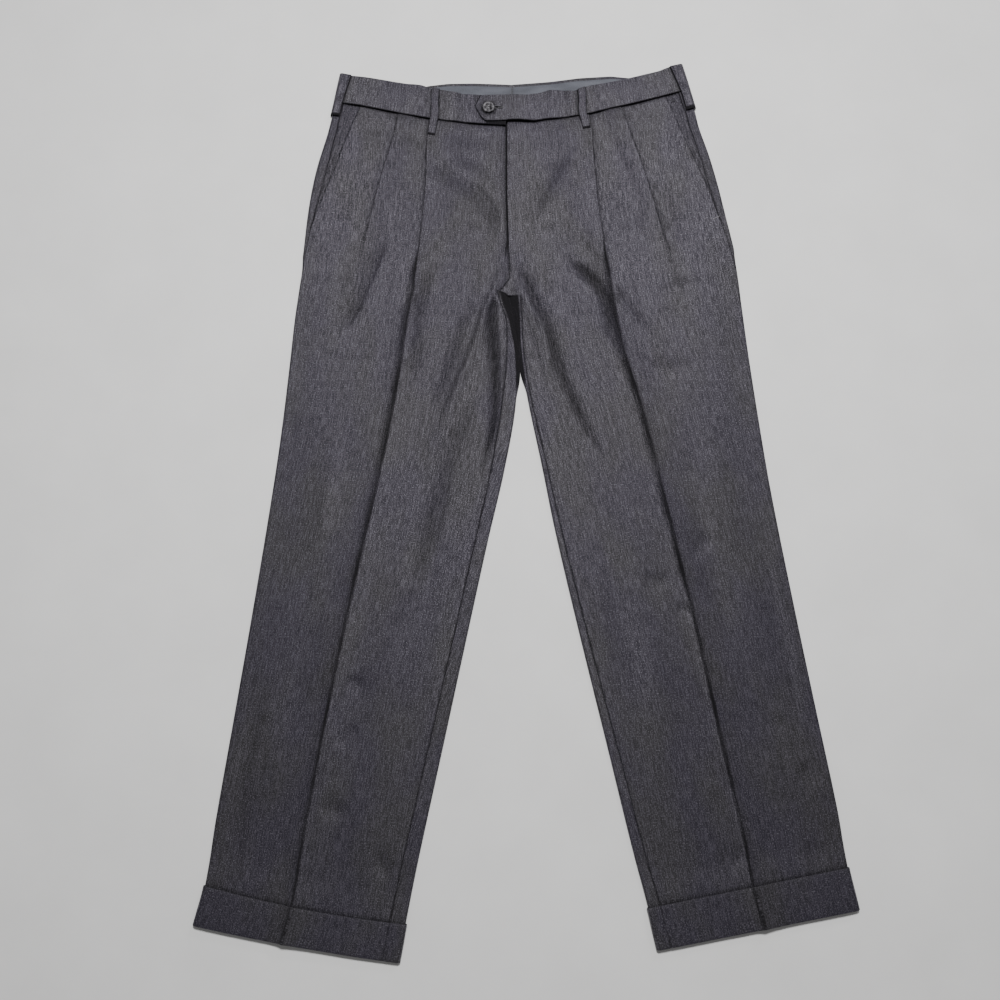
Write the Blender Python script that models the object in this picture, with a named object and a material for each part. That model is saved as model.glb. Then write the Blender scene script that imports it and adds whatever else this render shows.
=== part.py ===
# Pleated dress trousers laid flat on a floor, front side up, built piece by piece as they are cut and sewn.
# Right and left are the wearer's. +X runs to the wearer's left, +Y towards the waist and +Z up off the floor.
# The trousers lie with the floor at Z = 0, and the origin is the middle of their outline on the floor.
# Every piece is laid out in millimetres about a point just beside that middle, and moved onto it at the end.

import math
from collections import namedtuple

import bmesh
import bpy
from mathutils import Vector

MM = 0.001
OUTLINE_MIDDLE = Vector((0.8, -1.4, 0.0))  # in the layout's own millimetres

# Driving dimensions, in millimetres.
WALL = 1.2  # cloth
BAND_WALL = 2.0  # waistband: cloth, interlining and its inner cloth
LINING_WALL = 0.8
SHIELD_WALL = 1.0  # strip behind the fly
LOOP_WALL = 1.6  # belt loops, cloth doubled
GAP = 0.3  # between neighbouring pieces
LAYER = WALL + GAP  # from one layer of cloth to the next, middle to middle

LOOP_WIDTH = 9.6
LOOP_BOW = 0.5  # how far a loop stands off the middle of the band
BACK_WAIST = 454.0  # Y of the waist seam at centre back, higher than in front
BACK_SAG = 0.35  # how far the back's stations sag, as a share of the front's
BACK_RISE_END = 150.0  # where front and back stations have come level, down from the waist seam
BAND_HEIGHT_BACK = 38.0
BAND_FOLD_RADIUS = 2.2
BAND_TOP = 7.2  # middle of the front band's wall over the floor
BAND_CLIMB = 30.0  # distance over which the band climbs from its side fold to that height
BAND_COLUMNS = (10, 24, 60, 95, 130, 160)  # across from the side fold
RIGHT_BAND_SHORT = 2.0  # the right band ends this far before the closing, under the tab
SEAM_LIFT = 1.7  # how far the single layer beside the fly rises to meet the band
SEAM_LIFT_REACH = 26.0  # and how far down it has settled again
TAB_LIFT = BAND_WALL + GAP
TAB_LIFT_START = 42.0  # before the closing
TAB_LIFT_LENGTH = 34.0
SHIELD_WIDTH = 30.0
SHIELD_SHOWS = 8.0  # how far it reaches out past the left front's edge
SHIELD_HEIGHT = 2.2
SHIELD_ROWS = (1, 30, 60, 90, 120, 150, 180)
FLY_UNDERLAP = 3.4  # how far the right front stays back from the closing at the waist
FLY_UNDERLAP_END = 110.0
CENTRE_COLUMNS = (27, 17, 8, 0)  # columns of the front, measured back from its inner edge
POCKET_END = 172.0  # bar tack at the foot of the pocket mouth, down from the waist seam
POCKET_FADE = 16.0  # below it the front settles over this distance
FACING_END = 166.0
FACING_UNDERLAP = 14.0  # pocket facing hidden behind the front's slanted edge
FACING_FADE = 18.0  # and inwards from the facing over this one
CUFF_END = 955.0  # hem, down the crease
CUFF_HEIGHT = 41.0
CUFF_START = CUFF_END - CUFF_HEIGHT
CUFF_LIFT_START = 880.0  # the leg rises off the floor here, onto the turned-up cuff
LEG_SHORT = 1.2  # the leg's own cloth ends this much above the hem

Turn = namedtuple("Turn", "radius height")
BUTTON_PLACE = Vector((-41.0, 454.0, 0.0))
BUTTON_PROFILE = [  # from the middle of its underside out, over the rim and in again
    Turn(0, 0.5),
    Turn(4.4, 0),
    Turn(6.9, 0.5),
    Turn(7.5, 1.4),
    Turn(7.1, 2.8),
    Turn(6.1, 2.8),
    Turn(5.3, 2.0),
    Turn(0, 1.8),
]
BUTTON_STEPS = 24
BUTTON_HOLE_RADIUS = 0.8
BUTTON_HOLE_SPACING = 2.6
BUTTON_HOLE_DEPTH = 8.0

SIDES = {"right": 1.0, "left": -1.0}  # +1 where outer to inner runs along +X

# Stations down each leg. Each is a line across the half, from its outer edge to the centre front or to the inner
# edge of the leg. `down` is measured along the front crease from the waist seam, and `sag` is how far the middle
# of the line drops towards the hem.
Station = namedtuple("Station", "down outer_x outer_y inner_x inner_y sag")
BAND_TOP_EDGE = {
    "right": Station(-40, -223.5, 504, -16, 473, 5),
    "left": Station(-36, 197.5, 517, -16, 473, 8),
}
SEAT = {
    "right": [
        Station(0, -230, 462, -18, 433, 4),
        Station(20, -234, 442, -18, 407, 2),
        Station(40, -238, 423, -18, 386, 0),
        Station(80, -248, 385, -18, 345, 0),
        Station(120, -255, 346, -17.5, 305, 0),
        Station(160, -259, 306, -16, 264, 0),
        Station(190, -261, 276, -16, 234, 0),
        Station(204, -262, 262, -27, 218, 0),
    ],
    "left": [
        Station(0, 206, 483, -16, 439, 9),
        Station(20, 213, 453, -17, 409, 3),
        Station(40, 217, 432, -18, 388, 0),
        Station(80, 228, 394, -18, 347, 0),
        Station(120, 237, 355, -17.5, 307, 0),
        Station(160, 244, 316, -16, 267, 0),
        Station(190, 250, 285, -16, 234, 0),
        Station(204, 252, 273, -27, 218, 0),
    ],
}
LEG = {
    "right": [
        Station(204, -262, 262, -27, 218, 0),
        Station(220, -262, 246, -23, 204, 0),
        Station(240, -264, 226, -16, 183, 0),
        Station(280, -268, 186, -8, 141, 0),
        Station(340, -272, 126, -8.5, 80, 0),
        Station(420, -278, 46, -22, 1, 0),
        Station(500, -286, -33, -40, -78, 0),
        Station(620, -300, -152, -65, -195, 0),
        Station(740, -315, -271, -90, -313, 1),
        Station(850, -329, -380, -113, -421, 2),
        Station(914, -336, -445, -125, -483, 4),
        Station(955, -345, -484, -131.5, -520, 2),
    ],
    "left": [
        Station(204, 252, 273, -7, 218, 0),
        Station(220, 253, 257, -6, 208, 0),
        Station(240, 255, 237, -5, 187, 0),
        Station(280, 258, 197, -4, 147, 0),
        Station(340, 263, 137, 4.5, 88, 0),
        Station(420, 271, 57, 20, 10, 0),
        Station(500, 280, -22, 35, -69, 0),
        Station(620, 297, -141, 61, -186, 0),
        Station(740, 315, -259, 88, -302, 0),
        Station(850, 332, -368, 113, -410, 0),
        Station(914, 338.5, -427, 127.5, -467, 0),
        Station(955, 346.5, -469, 136.5, -508, 0),
    ],
}

# Where the seams run. `side` is the side seam's distance round the outer fold, above zero on top and below zero
# underneath. `edge` is the same for the front's outer edge, which is the slanted pocket mouth down to the bar
# tack. `inseam` is how far in from the top of the inner fold the inseam lies.
Seams = namedtuple("Seams", "down side edge inseam")
SEAMS = {
    "right": [
        Seams(0, 11, 33, 1),
        Seams(40, 11, 25.5, 1),
        Seams(80, 13, 23.5, 1),
        Seams(120, 12, 17, 1),
        Seams(160, 7.5, 8.5, 1),
        Seams(188, 5, 5, 1),
        Seams(204, 3, 3, 1),
        Seams(240, 0, 0, 2),
        Seams(280, -1, -1, 9),
        Seams(340, -1, -1, 14),
        Seams(500, -1, -1, 12),
        Seams(955, -1, -1, 15),
    ],
    "left": [
        Seams(0, 14, 31, 1),
        Seams(40, 12, 24.5, 1),
        Seams(80, 12, 20.5, 1),
        Seams(120, 12, 15, 1),
        Seams(160, 9, 10, 1),
        Seams(188, 6.5, 6.5, 1),
        Seams(204, 5, 5, 1),
        Seams(240, 1, 1, 1.5),
        Seams(280, -1, -1, 2.5),
        Seams(340, -1, -1, 2),
        Seams(500, -1, -1, 5),
        Seams(955, -1, -1, 11),
    ],
}

# The two pleats of each front. `place` is the folded edge's distance from the outer edge, `overlap` how far the
# cloth doubles back behind it (below zero it has opened out into a slope), and `ridge` the height it stands then.
Pleat = namedtuple("Pleat", "down place overlap ridge")
CREASE = {  # the deep pleat next to the fly, which runs on as the leg's front crease
    "right": [
        Pleat(0, 118, 27, 2.4),
        Pleat(40, 124, 22, 2.4),
        Pleat(80, 134, 17, 2.4),
        Pleat(120, 138.5, 11, 2.4),
        Pleat(160, 139.5, 0, 2.4),
        Pleat(204, 137, -9, 2.4),
        Pleat(300, 132, -11, 2.2),
        Pleat(380, 126, -11, 2.0),
        Pleat(500, 115, -11, 2.2),
        Pleat(620, 106, -11, 2.4),
        Pleat(740, 100, -11, 2.4),
        Pleat(955, 94, -11, 2.0),
    ],
    "left": [
        Pleat(0, 127, 27, 2.4),
        Pleat(40, 134, 22, 2.4),
        Pleat(80, 143, 17, 2.4),
        Pleat(120, 149, 11, 2.4),
        Pleat(160, 151.5, 0, 2.4),
        Pleat(204, 153.5, -9, 2.4),
        Pleat(300, 146, -11, 2.4),
        Pleat(380, 132.5, -11, 2.0),
        Pleat(500, 120, -11, 2.2),
        Pleat(620, 112, -11, 2.4),
        Pleat(740, 108, -11, 2.4),
        Pleat(955, 100, -11, 2.0),
    ],
}
SECOND_PLEAT = {  # the shorter one towards the pocket
    "right": [
        Pleat(0, 80, 19, 1.4),
        Pleat(60, 81, 13, 1.4),
        Pleat(120, 79, 1.5, 1.4),
        Pleat(160, 75, -8, 1.2),
        Pleat(204, 70, -11, 0.4),
        Pleat(300, 64, -11, 0.0),
        Pleat(500, 56, -11, 0.0),
        Pleat(955, 46, -11, 0.0),
    ],
    "left": [
        Pleat(0, 87, 19, 1.4),
        Pleat(60, 84.5, 13, 1.4),
        Pleat(120, 83.5, 1.5, 1.4),
        Pleat(160, 79, -8, 1.2),
        Pleat(204, 76, -11, 0.4),
        Pleat(300, 70, -11, 0.0),
        Pleat(500, 58, -11, 0.0),
        Pleat(955, 48, -11, 0.0),
    ],
}
PLEAT_SHUT = 3.0  # with more overlap than this a pleat lies pressed shut
PLEAT_OPENING = 14.0  # the change of overlap, from there down, over which it opens out into a ridge
FOLD_TURN = 0.8  # a pressed fold's turn, either side of its edge
RIDGE_TURN = 3.4  # the same for the ridge's columns

# How thick the flattened tube lies: the radius of its folded edges and the height of its top layer.
Depth = namedtuple("Depth", "down fold_radius plateau")
DEPTH = [
    Depth(0, 1.9, 4.4),
    Depth(60, 1.6, 4.6),
    Depth(120, 1.5, 5.0),
    Depth(204, 1.5, 5.2),
    Depth(300, 1.5, 5.0),
    Depth(420, 1.5, 4.2),
    Depth(560, 1.5, 3.8),
    Depth(955, 1.5, 3.8),
]
EDGE_RISE = 40.0  # distance over which the top layer climbs from the folded edge to the plateau

# Where the two halves meet: in front down the fly and the fork seam, and on the floor down the centre back seam
# and on between the legs.
Meeting = namedtuple("Meeting", "y x")
CENTRE_FRONT = [
    Meeting(500, -18),
    Meeting(345, -18),
    Meeting(264, -16),
    Meeting(234, -16),
    Meeting(218, -27),
]
CENTRE_BACK = [
    Meeting(500, -12),
    Meeting(440, -12),
    Meeting(300, -14),
    Meeting(218, -17),
    Meeting(204, -14),
    Meeting(183, -10.3),
    Meeting(165, -7.8),
    Meeting(145, -5.6),
    Meeting(125, -4),
    Meeting(100, -3),
]
Parting = namedtuple("Parting", "down closed")  # 1 where the legs lie against each other, 0 where they are apart
PARTING = [Parting(204, 1), Parting(300, 1), Parting(318, 0.5), Parting(340, 0), Parting(955, 0)]
FOOT_REACH = 3.0  # from this gap on, the inner fold has a low foot that reaches out to the other leg
FOOT_RADIUS = 0.8
FOOT_ANGLES = ((-45, -35), (0, 25), (45, 90))  # columns round the inner fold: where it is upright, and on a foot
FLOOR_COLUMNS = (0.3, 0.65, 1.0)  # across the back's floor, from the outer fold to the centre back seam or the foot

# The large drag folds of the front, each a soft hollow from one point to another.
Hollow = namedtuple("Hollow", "side from_x from_y to_x to_y width depth")
HOLLOW_RUN_OUT = 0.2  # share of a hollow's length over which it comes up again at each end
HOLLOWS = [
    Hollow("right", -31, 214, -31, 60, 6, 1.7),
    Hollow("right", -55, 215, -115, 110, 12, 0.9),
    Hollow("right", -60, 395, -20, 290, 13, 0.8),
    Hollow("left", 0, 225, 60, 60, 9, 1.4),
    Hollow("left", 50, 270, 90, 215, 12, 1.2),
    Hollow("left", 55, 400, 15, 330, 13, 0.8),
]

BELT_LOOPS = {  # across distance from the outer edge, at the band's top and at the loop's own lower end
    "right": {"top": 122.0, "bottom": 128.0, "end": 21.0},
    "left": {"top": 132.5, "bottom": 136.5, "end": 16.0},
}
SIDE_LOOPS = {  # how far each reaches onto the front, at the band's top and at its own lower end
    "right": {"top": 14.0, "bottom": 10.0, "end": 16.0},
    "left": {"top": 16.0, "bottom": 11.0, "end": 17.0},
}

SEAT_ROWS = [0.3, 14, 30, 48, 66, 84, 102, 120, 138, 156, 172, 190, 204]
LEG_ROWS = [204, 214, 228, 244, 262, 282, 304, 328, 356, 390, 430, 480, 540, 610, 690, 770, 850, 880, 898, 914,
            CUFF_END - LEG_SHORT]

Finish = namedtuple("Finish", "color roughness")
CLOTH = Finish((0.085, 0.08, 0.092, 1.0), 0.85)
LINING = Finish((0.16, 0.18, 0.215, 1.0), 0.6)
HORN = Finish((0.03, 0.028, 0.032, 1.0), 0.25)
SHARP_ANGLE = math.radians(40)


def read(rows, down):
    """The row of a table at this distance down, on a smooth curve through the table's own rows."""
    keys = [row[0] for row in rows]
    if down <= keys[0]:
        return rows[0]
    if down >= keys[-1]:
        return rows[-1]
    at = max(i for i, key in enumerate(keys) if key <= down)
    span = keys[at + 1] - keys[at]
    t = (down - keys[at]) / span

    def slope(i, column):
        low = max(i - 1, 0)
        high = min(i + 1, len(rows) - 1)
        return (rows[high][column] - rows[low][column]) / (keys[high] - keys[low])

    values = [down]
    for column in range(1, len(rows[0])):
        start, end = rows[at][column], rows[at + 1][column]
        h1 = 2 * t**3 - 3 * t**2 + 1
        h2 = t**3 - 2 * t**2 + t
        h3 = t**3 - t**2
        values.append(h1 * start + (1 - h1) * end + span * (h2 * slope(at, column) + h3 * slope(at + 1, column)))
    return type(rows[0])(*values)


def meeting_x(line, y):
    """X of a line where the halves meet, at this Y."""
    rows = line[::-1]
    for low, high in zip(rows, rows[1:]):
        if y <= high.y:
            t = max(0.0, (y - low.y) / (high.y - low.y))
            return low.x + t * (high.x - low.x)
    return rows[-1].x


def ease(value):
    """0 to 1 with soft ends."""
    value = min(1.0, max(0.0, value))
    return value * value * (3 - 2 * value)


def mix(a, b, t):
    return a + (b - a) * t


class Half:
    """One half of the trousers at one station: turns a distance across and a height into a point."""

    def __init__(self, side, down, leg):
        self.side = side
        self.sign = SIDES[side]
        self.down = down
        self.leg = leg
        self.station = read((LEG if leg else SEAT)[side], down)
        self.start = Vector((self.station.outer_x, self.station.outer_y))
        self.run = Vector((self.station.inner_x, self.station.inner_y)) - self.start
        self.width = self.run.length
        self.seams = read(SEAMS[side], down)
        self.crease = read(CREASE[side], down)
        self.second = read(SECOND_PLEAT[side], down)
        self.depth = read(DEPTH, down)
        self.radius = self.depth.fold_radius
        self.lift = LAYER * ease((down - CUFF_LIFT_START) / (CUFF_START - 4 - CUFF_LIFT_START))
        self.edge_height = WALL / 2 + 2 * self.radius
        waist = SEAT[side][0].inner_y
        self.rise = 0.0 if leg else (BACK_WAIST - waist) * (1 - ease(down / BACK_RISE_END))

    def plan(self, across, behind=False):
        """Where a distance across lies on the floor, on the front or behind it on the back."""
        t = across / self.width
        point = self.start + self.run * t
        sag = self.station.sag * (BACK_SAG if behind and not self.leg else 1)
        point.y -= sag * 4 * t * (1 - t)
        if behind:
            point.y += self.rise * max(0.0, t)
        return point

    def across_at(self, x):
        """The distance across at which the station's line reaches this X."""
        return (x - self.start.x) / self.run.x * self.width

    def to_centre_back(self):
        """The distance across to the centre back seam, less half the gap there."""
        return self.across_at(meeting_x(CENTRE_BACK, self.station.inner_y) - self.sign * GAP / 2)

    def place(self, across, height, behind=False):
        point = self.plan(across, behind)
        return Vector((point.x, point.y, height + self.lift))

    def round_fold(self, distance):
        """A place round the outer fold: across, height, and the wall's direction there as (across, up)."""
        quarter = math.pi / 2 * self.radius
        middle = WALL / 2 + self.radius
        if distance > quarter:
            return WALL / 2 + self.radius + distance - quarter, self.edge_height, (0.0, 1.0)
        angle = max(distance / self.radius, -math.pi / 2)
        across = WALL / 2 + self.radius * (1 - math.cos(angle))
        return across, middle + self.radius * math.sin(angle), (-math.cos(angle), math.sin(angle))

    def top(self, across):
        """Height of the top layer, before pleats."""
        from_inner = self.width - across
        climb = ease((across - self.radius) / EDGE_RISE)
        if self.leg:
            climb *= ease(from_inner / EDGE_RISE + 0.2)
        height = mix(self.edge_height, self.depth.plateau, climb)
        under_pocket = 1 - ease((self.down - POCKET_END) / POCKET_FADE)
        facing_end = self.seams.edge + FACING_UNDERLAP + 2
        near_pocket = under_pocket * (1 - ease((across - facing_end) / FACING_FADE))
        height = mix(height, self.edge_height + LAYER + 0.1, near_pocket)
        past_pleats = ease((across - self.crease.place - self.crease.overlap) / SEAM_LIFT_REACH)
        height += SEAM_LIFT * past_pleats * (1 - ease(self.down / SEAM_LIFT_REACH))
        point = self.plan(across)
        for hollow in HOLLOWS:
            if hollow.side == self.side:
                height -= dip(hollow, point)
        return max(height, WALL / 2 + LAYER)

    def normal(self, direction):
        """A direction in the station's plane, (across, up), as a vector."""
        run = self.run.normalized()
        return Vector((run.x * direction[0], run.y * direction[0], direction[1]))


def dip(hollow, point):
    start = Vector((hollow.from_x, hollow.from_y))
    line = Vector((hollow.to_x, hollow.to_y)) - start
    t = (point - start).dot(line) / line.length_squared
    nearest = start + line * min(1.0, max(0.0, t))
    off = (point - nearest).length / hollow.width
    ends = ease(min(t, 1 - t) / HOLLOW_RUN_OUT + 0.5)
    return hollow.depth * math.exp(-off * off) * ends


def opening(pleat):
    """0 where the pleat is pressed shut, 1 where it has opened out into a ridge."""
    return ease((PLEAT_SHUT - pleat.overlap) / PLEAT_OPENING)


def pleat_points(pleat):
    """The six columns of one pleat from its outer side inwards, each as (across, lift above the top layer)."""
    opened = opening(pleat)
    turn = mix(FOLD_TURN, RIDGE_TURN, opened)
    backward = mix(-FOLD_TURN, RIDGE_TURN, opened)
    layer = LAYER / 2
    inner = pleat.place + pleat.overlap
    return [
        (inner - turn, 0.0),
        (inner, mix(layer, 0.1 * pleat.ridge, opened)),
        (inner + backward, mix(2 * layer, 0.35 * pleat.ridge, opened)),
        (pleat.place - backward, mix(2 * layer, 0.75 * pleat.ridge, opened)),
        (pleat.place, mix(3 * layer, pleat.ridge, opened)),
        (pleat.place + turn, mix(4 * layer, 0.85 * pleat.ridge, opened)),
    ]


def pleat_run_out(pleat, first, last):
    """Two more columns, where the doubled cloth comes down to the single layer beside it."""
    opened = opening(pleat)
    return [
        (pleat.place + mix(pleat.overlap + 1.4, first, opened), mix(2 * LAYER, 0.45 * pleat.ridge, opened)),
        (pleat.place + mix(pleat.overlap + 13, last, opened), mix(0.2, 0.1 * pleat.ridge, opened)),
    ]


def front_row(half, end):
    """One row of a front: points from the outer edge to the inner one, `end` millimetres across."""
    edge = half.seams.edge
    quarter = math.pi / 2 * half.radius
    shoulder = max(edge + 4, quarter + 0.8)
    columns = []
    on_pocket = half.down <= POCKET_END
    for distance in (edge + GAP / 2, mix(edge, shoulder, 0.5), shoulder):
        across, height, _ = half.round_fold(distance)
        if on_pocket or distance >= quarter:
            height = half.top(across)
        columns.append((across, height))
    second = pleat_points(half.second) + pleat_run_out(half.second, 12, 24)
    crease = pleat_points(half.crease) + pleat_run_out(half.crease, 12, 28)
    past_facing = edge + FACING_UNDERLAP + 1.5
    for across in (past_facing, mix(past_facing, second[0][0], 0.5)):
        columns.append((across, half.top(across)))
    for across, lift in second + crease:
        columns.append((across, half.top(across) + lift))
    beside = [end - back for back in CENTRE_COLUMNS]
    for across in [mix(crease[-1][0], beside[0], 0.5)] + beside:
        columns.append((across, half.top(across)))
    return [half.place(across, height) for across, height in columns]


def inner_end(half):
    """How far across the front reaches: to the centre front seam, or down the leg to the inseam."""
    if half.leg:
        return crest(half) - half.seams.inseam - GAP / 2
    underlap = mix(FLY_UNDERLAP, 0, ease(half.down / FLY_UNDERLAP_END)) if half.side == "right" else 0.0
    line = meeting_x(CENTRE_FRONT, half.station.inner_y)
    return half.across_at(line - half.sign * (underlap + GAP / 2))


def crest(half):
    """Top of the leg's inner fold, across."""
    return half.width - WALL / 2 - half.radius


def inner_fold(half):
    """The leg's inner fold from its foot on the floor up to its crest, each as (across, height).

    Where the legs lie against each other a low round foot reaches out to the other leg, and the cloth slopes up
    from there to the crest.
    """
    closed = max(0.0, read(PARTING, half.down).closed)
    line = meeting_x(CENTRE_BACK, half.station.inner_y)
    gap = max(0.0, (line - half.station.inner_x) * half.sign - GAP / 2) * closed
    slant = ease(gap / FOOT_REACH)
    radius = mix(half.radius, FOOT_RADIUS, slant)
    foot = crest(half) + gap + half.radius - radius
    top = half.top(crest(half))
    rise = mix(top - WALL / 2, 2 * FOOT_RADIUS, slant)
    columns = [(foot, WALL / 2)]
    for upright, slanting in FOOT_ANGLES:
        angle = math.radians(mix(upright, slanting, slant))
        columns.append((foot + radius * math.cos(angle), WALL / 2 + rise * (1 + math.sin(angle)) / 2))
    return columns + [(crest(half), top)]


def back_row(half):
    """One row of a back: from the side seam round the outer fold, along the floor and up to the inseam."""
    quarter = math.pi / 2 * half.radius
    seam = half.seams.side - GAP / 2
    points = []
    for t in (0.0, 0.25, 0.5, 0.75, 1.0):
        across, height, _ = half.round_fold(mix(seam, -quarter, t))
        points.append(half.place(across, height))
    fold = inner_fold(half) if half.leg else [(half.to_centre_back(), WALL / 2)]
    start = WALL / 2 + half.radius
    for t in FLOOR_COLUMNS:
        points.append(half.place(mix(start, fold[0][0], t), WALL / 2, behind=True))
    if not half.leg:
        return points + [None] * 6
    for across, height in fold[1:]:
        points.append(half.place(across, height))
    inseam = crest(half) - half.seams.inseam + GAP / 2
    for across in (mix(crest(half), inseam, 0.5), inseam):
        points.append(half.place(across, half.top(across)))
    return points


def wall(name, grid, thickness, facing, cloth, seams=None):
    """A closed wall on a grid of points, rows down and columns across, with None where there is no cloth.

    `facing` is +1 or -1 and turns the wall's outer side out. `seams` gives, for a row and column, the direction
    of the wall's end face where it meets a neighbour.
    """
    seams = seams or {}
    rows, columns = len(grid), len(grid[0])

    def point(i, j):
        inside = 0 <= i < rows and 0 <= j < columns
        return grid[i][j] if inside else None

    def difference(here, before, after):
        return (after or here) - (before or here)

    mesh = bmesh.new()
    outer, inner = {}, {}
    for i in range(rows):
        for j in range(columns):
            here = grid[i][j]
            if here is None:
                continue
            down = difference(here, point(i - 1, j), point(i + 1, j))
            across = difference(here, point(i, j - 1), point(i, j + 1))
            normal = seams.get((i, j)) or down.cross(across).normalized() * facing
            outer[i, j] = mesh.verts.new((here + normal * thickness / 2) * MM)
            inner[i, j] = mesh.verts.new((here - normal * thickness / 2) * MM)
    borders = {}
    for i in range(rows - 1):
        for j in range(columns - 1):
            loop = [(i, j), (i + 1, j), (i + 1, j + 1), (i, j + 1)]
            if any(corner not in outer for corner in loop):
                continue
            mesh.faces.new([outer[corner] for corner in loop])
            mesh.faces.new([inner[corner] for corner in reversed(loop)])
            for a, b in zip(loop, loop[1:] + loop[:1]):
                if (b, a) in borders:
                    del borders[b, a]
                else:
                    borders[a, b] = True
    for a, b in borders:
        mesh.faces.new([outer[b], outer[a], inner[a], inner[b]])
    loose = [v for v in mesh.verts if not v.link_faces]
    bmesh.ops.delete(mesh, geom=loose, context="VERTS")
    return finish(name, mesh, cloth)


def finish(name, mesh, look):
    """A mesh in the layout's frame made into an object with its own material, its origin at the outline's middle."""
    bmesh.ops.recalc_face_normals(mesh, faces=mesh.faces)
    data = bpy.data.meshes.new(name)
    mesh.to_mesh(data)
    mesh.free()
    data.shade_smooth()
    data.set_sharp_from_angle(angle=SHARP_ANGLE)
    data.materials.append(make_material(name, look))
    obj = bpy.data.objects.new(name, data)
    obj.location = -OUTLINE_MIDDLE * MM
    bpy.context.scene.collection.objects.link(obj)
    return obj


def make_material(name, look):
    material = bpy.data.materials.new(name)
    material.use_nodes = True
    shader = material.node_tree.nodes["Principled BSDF"]
    shader.inputs["Base Color"].default_value = look.color
    shader.inputs["Roughness"].default_value = look.roughness
    material.diffuse_color = look.color
    return material


def halves(side):
    """Every station of one half, waist to hem; the fork's station is there as the seat's last and the leg's first."""
    return [Half(side, down, False) for down in SEAT_ROWS[:-1]] + [Half(side, down, True) for down in LEG_ROWS]


def make_front(side):
    rows = halves(side)
    if side == "left":  # the left front's fork reaches across to the four-seam point
        rows.insert(len(SEAT_ROWS) - 1, Half(side, SEAT_ROWS[-1] - 3, False))
    grid = [front_row(half, inner_end(half)) for half in rows]
    seams = {}
    last = len(grid[0]) - 1
    for i, half in enumerate(rows):
        seams[i, last] = Vector((0, 0, 1))
        if half.down <= POCKET_END:
            seams[i, 0] = Vector((0, 0, 1))
        else:
            seams[i, 0] = half.normal(half.round_fold(half.seams.edge)[2])
    return wall(side + "_front", grid, WALL, SIDES[side], CLOTH, seams)


def make_back(side):
    rows = halves(side)
    grid = [back_row(half) for half in rows]
    seams = {}
    last = len(grid[0]) - 1
    for i, half in enumerate(rows):
        seams[i, 0] = half.normal(half.round_fold(half.seams.side)[2])
        if half.leg:
            seams[i, last] = Vector((0, 0, 1))
    return wall(side + "_back", grid, WALL, -SIDES[side], CLOTH, seams)


def make_pocket_facing(side):
    """The cloth that shows in the slanted pocket mouth, between the side seam and the front's edge."""
    grid = []
    for down in [row for row in SEAT_ROWS if row < FACING_END] + [FACING_END]:
        half = Half(side, down, False)
        start = half.round_fold(half.seams.side + GAP / 2)[0]
        end = half.round_fold(half.seams.edge)[0] + FACING_UNDERLAP
        grid.append([half.place(mix(start, end, t), half.edge_height) for t in (0, 0.35, 0.7, 1)])
    return wall(side + "_pocket_facing", grid, WALL, SIDES[side], CLOTH)


def make_fly_shield():
    """The strip behind the fly, which shows beside its edge at the top."""
    grid = []
    for down in SHIELD_ROWS:
        half = Half("left", down, False)
        grid.append([half.place(half.width - mix(-SHIELD_SHOWS, SHIELD_WIDTH, t), SHIELD_HEIGHT)
                     for t in (1, 0.7, 0.35, 0)])
    return wall("fly_shield", grid, SHIELD_WALL, SIDES["left"], CLOTH)


class Band:
    """One half of the waistband: places on its front, its side fold and its back."""

    def __init__(self, side):
        self.side = side
        self.sign = SIDES[side]
        self.low = Half(side, 0, False)
        top = BAND_TOP_EDGE[side]
        self.top_start = Vector((top.outer_x, top.outer_y))
        self.top_run = Vector((top.inner_x, top.inner_y)) - self.top_start
        self.sag = top.sag

    def front(self, across, up):
        """Across from the outer edge in millimetres, and up from the waist seam (0) to the band's top (1)."""
        t = across / self.low.width
        high = self.top_start + self.top_run * t
        high.y -= self.sag * 4 * t * (1 - t)
        return self.low.plan(across).lerp(high, up)

    def back(self, t, up):
        """From the outer edge (0) to the centre back seam (1), and up as on the front."""
        low = self.low.plan(self.low.to_centre_back() * t, behind=True)
        high_x = mix(self.top_start.x, meeting_x(CENTRE_BACK, BACK_WAIST) - self.sign * GAP / 2, t)
        side_height = self.top_start.y - self.low.start.y
        high = Vector((high_x, low.y + mix(side_height, BAND_HEIGHT_BACK, t)))
        return low.lerp(high, up)

    def height(self, across):
        """Middle of the front band's wall."""
        edge = BAND_WALL / 2 + 2 * BAND_FOLD_RADIUS
        return mix(edge, BAND_TOP, ease((across - BAND_FOLD_RADIUS) / BAND_CLIMB))

    def fold(self, angle, out=0.0):
        """A place round the side fold, `out` millimetres outside the wall's middle."""
        radius = BAND_FOLD_RADIUS + out
        across = BAND_WALL / 2 + BAND_FOLD_RADIUS - radius * math.cos(angle)
        return across, BAND_WALL / 2 + BAND_FOLD_RADIUS + radius * math.sin(angle)

    def point(self, across, height, up):
        plan = self.front(across, up)
        return Vector((plan.x, plan.y, height))

    def back_point(self, t, height, up):
        plan = self.back(t, up)
        return Vector((plan.x, plan.y, height))


BAND_ROWS = (0.008, 0.5, 1.0)


def make_waistband(side):
    """From the centre back seam along the floor, round the side and across the front to the closing."""
    band = Band(side)
    grid = []
    for up in BAND_ROWS:
        row = [band.back_point(t, BAND_WALL / 2, up) for t in (1.0, 0.75, 0.5, 0.25, 0.06)]
        for angle in (-90, -50, 0, 50, 90):
            across, height = band.fold(math.radians(angle))
            row.append(band.point(across, height, up))
        for across in front_band_columns(band):
            row.append(band.point(across, band.height(across) + tab_lift(band, across), up))
        if side == "left":
            row += tab_points(band, up)
        grid.append(row[::-1])
    return wall(side + "_waistband", grid, BAND_WALL, band.sign, CLOTH)


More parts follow.
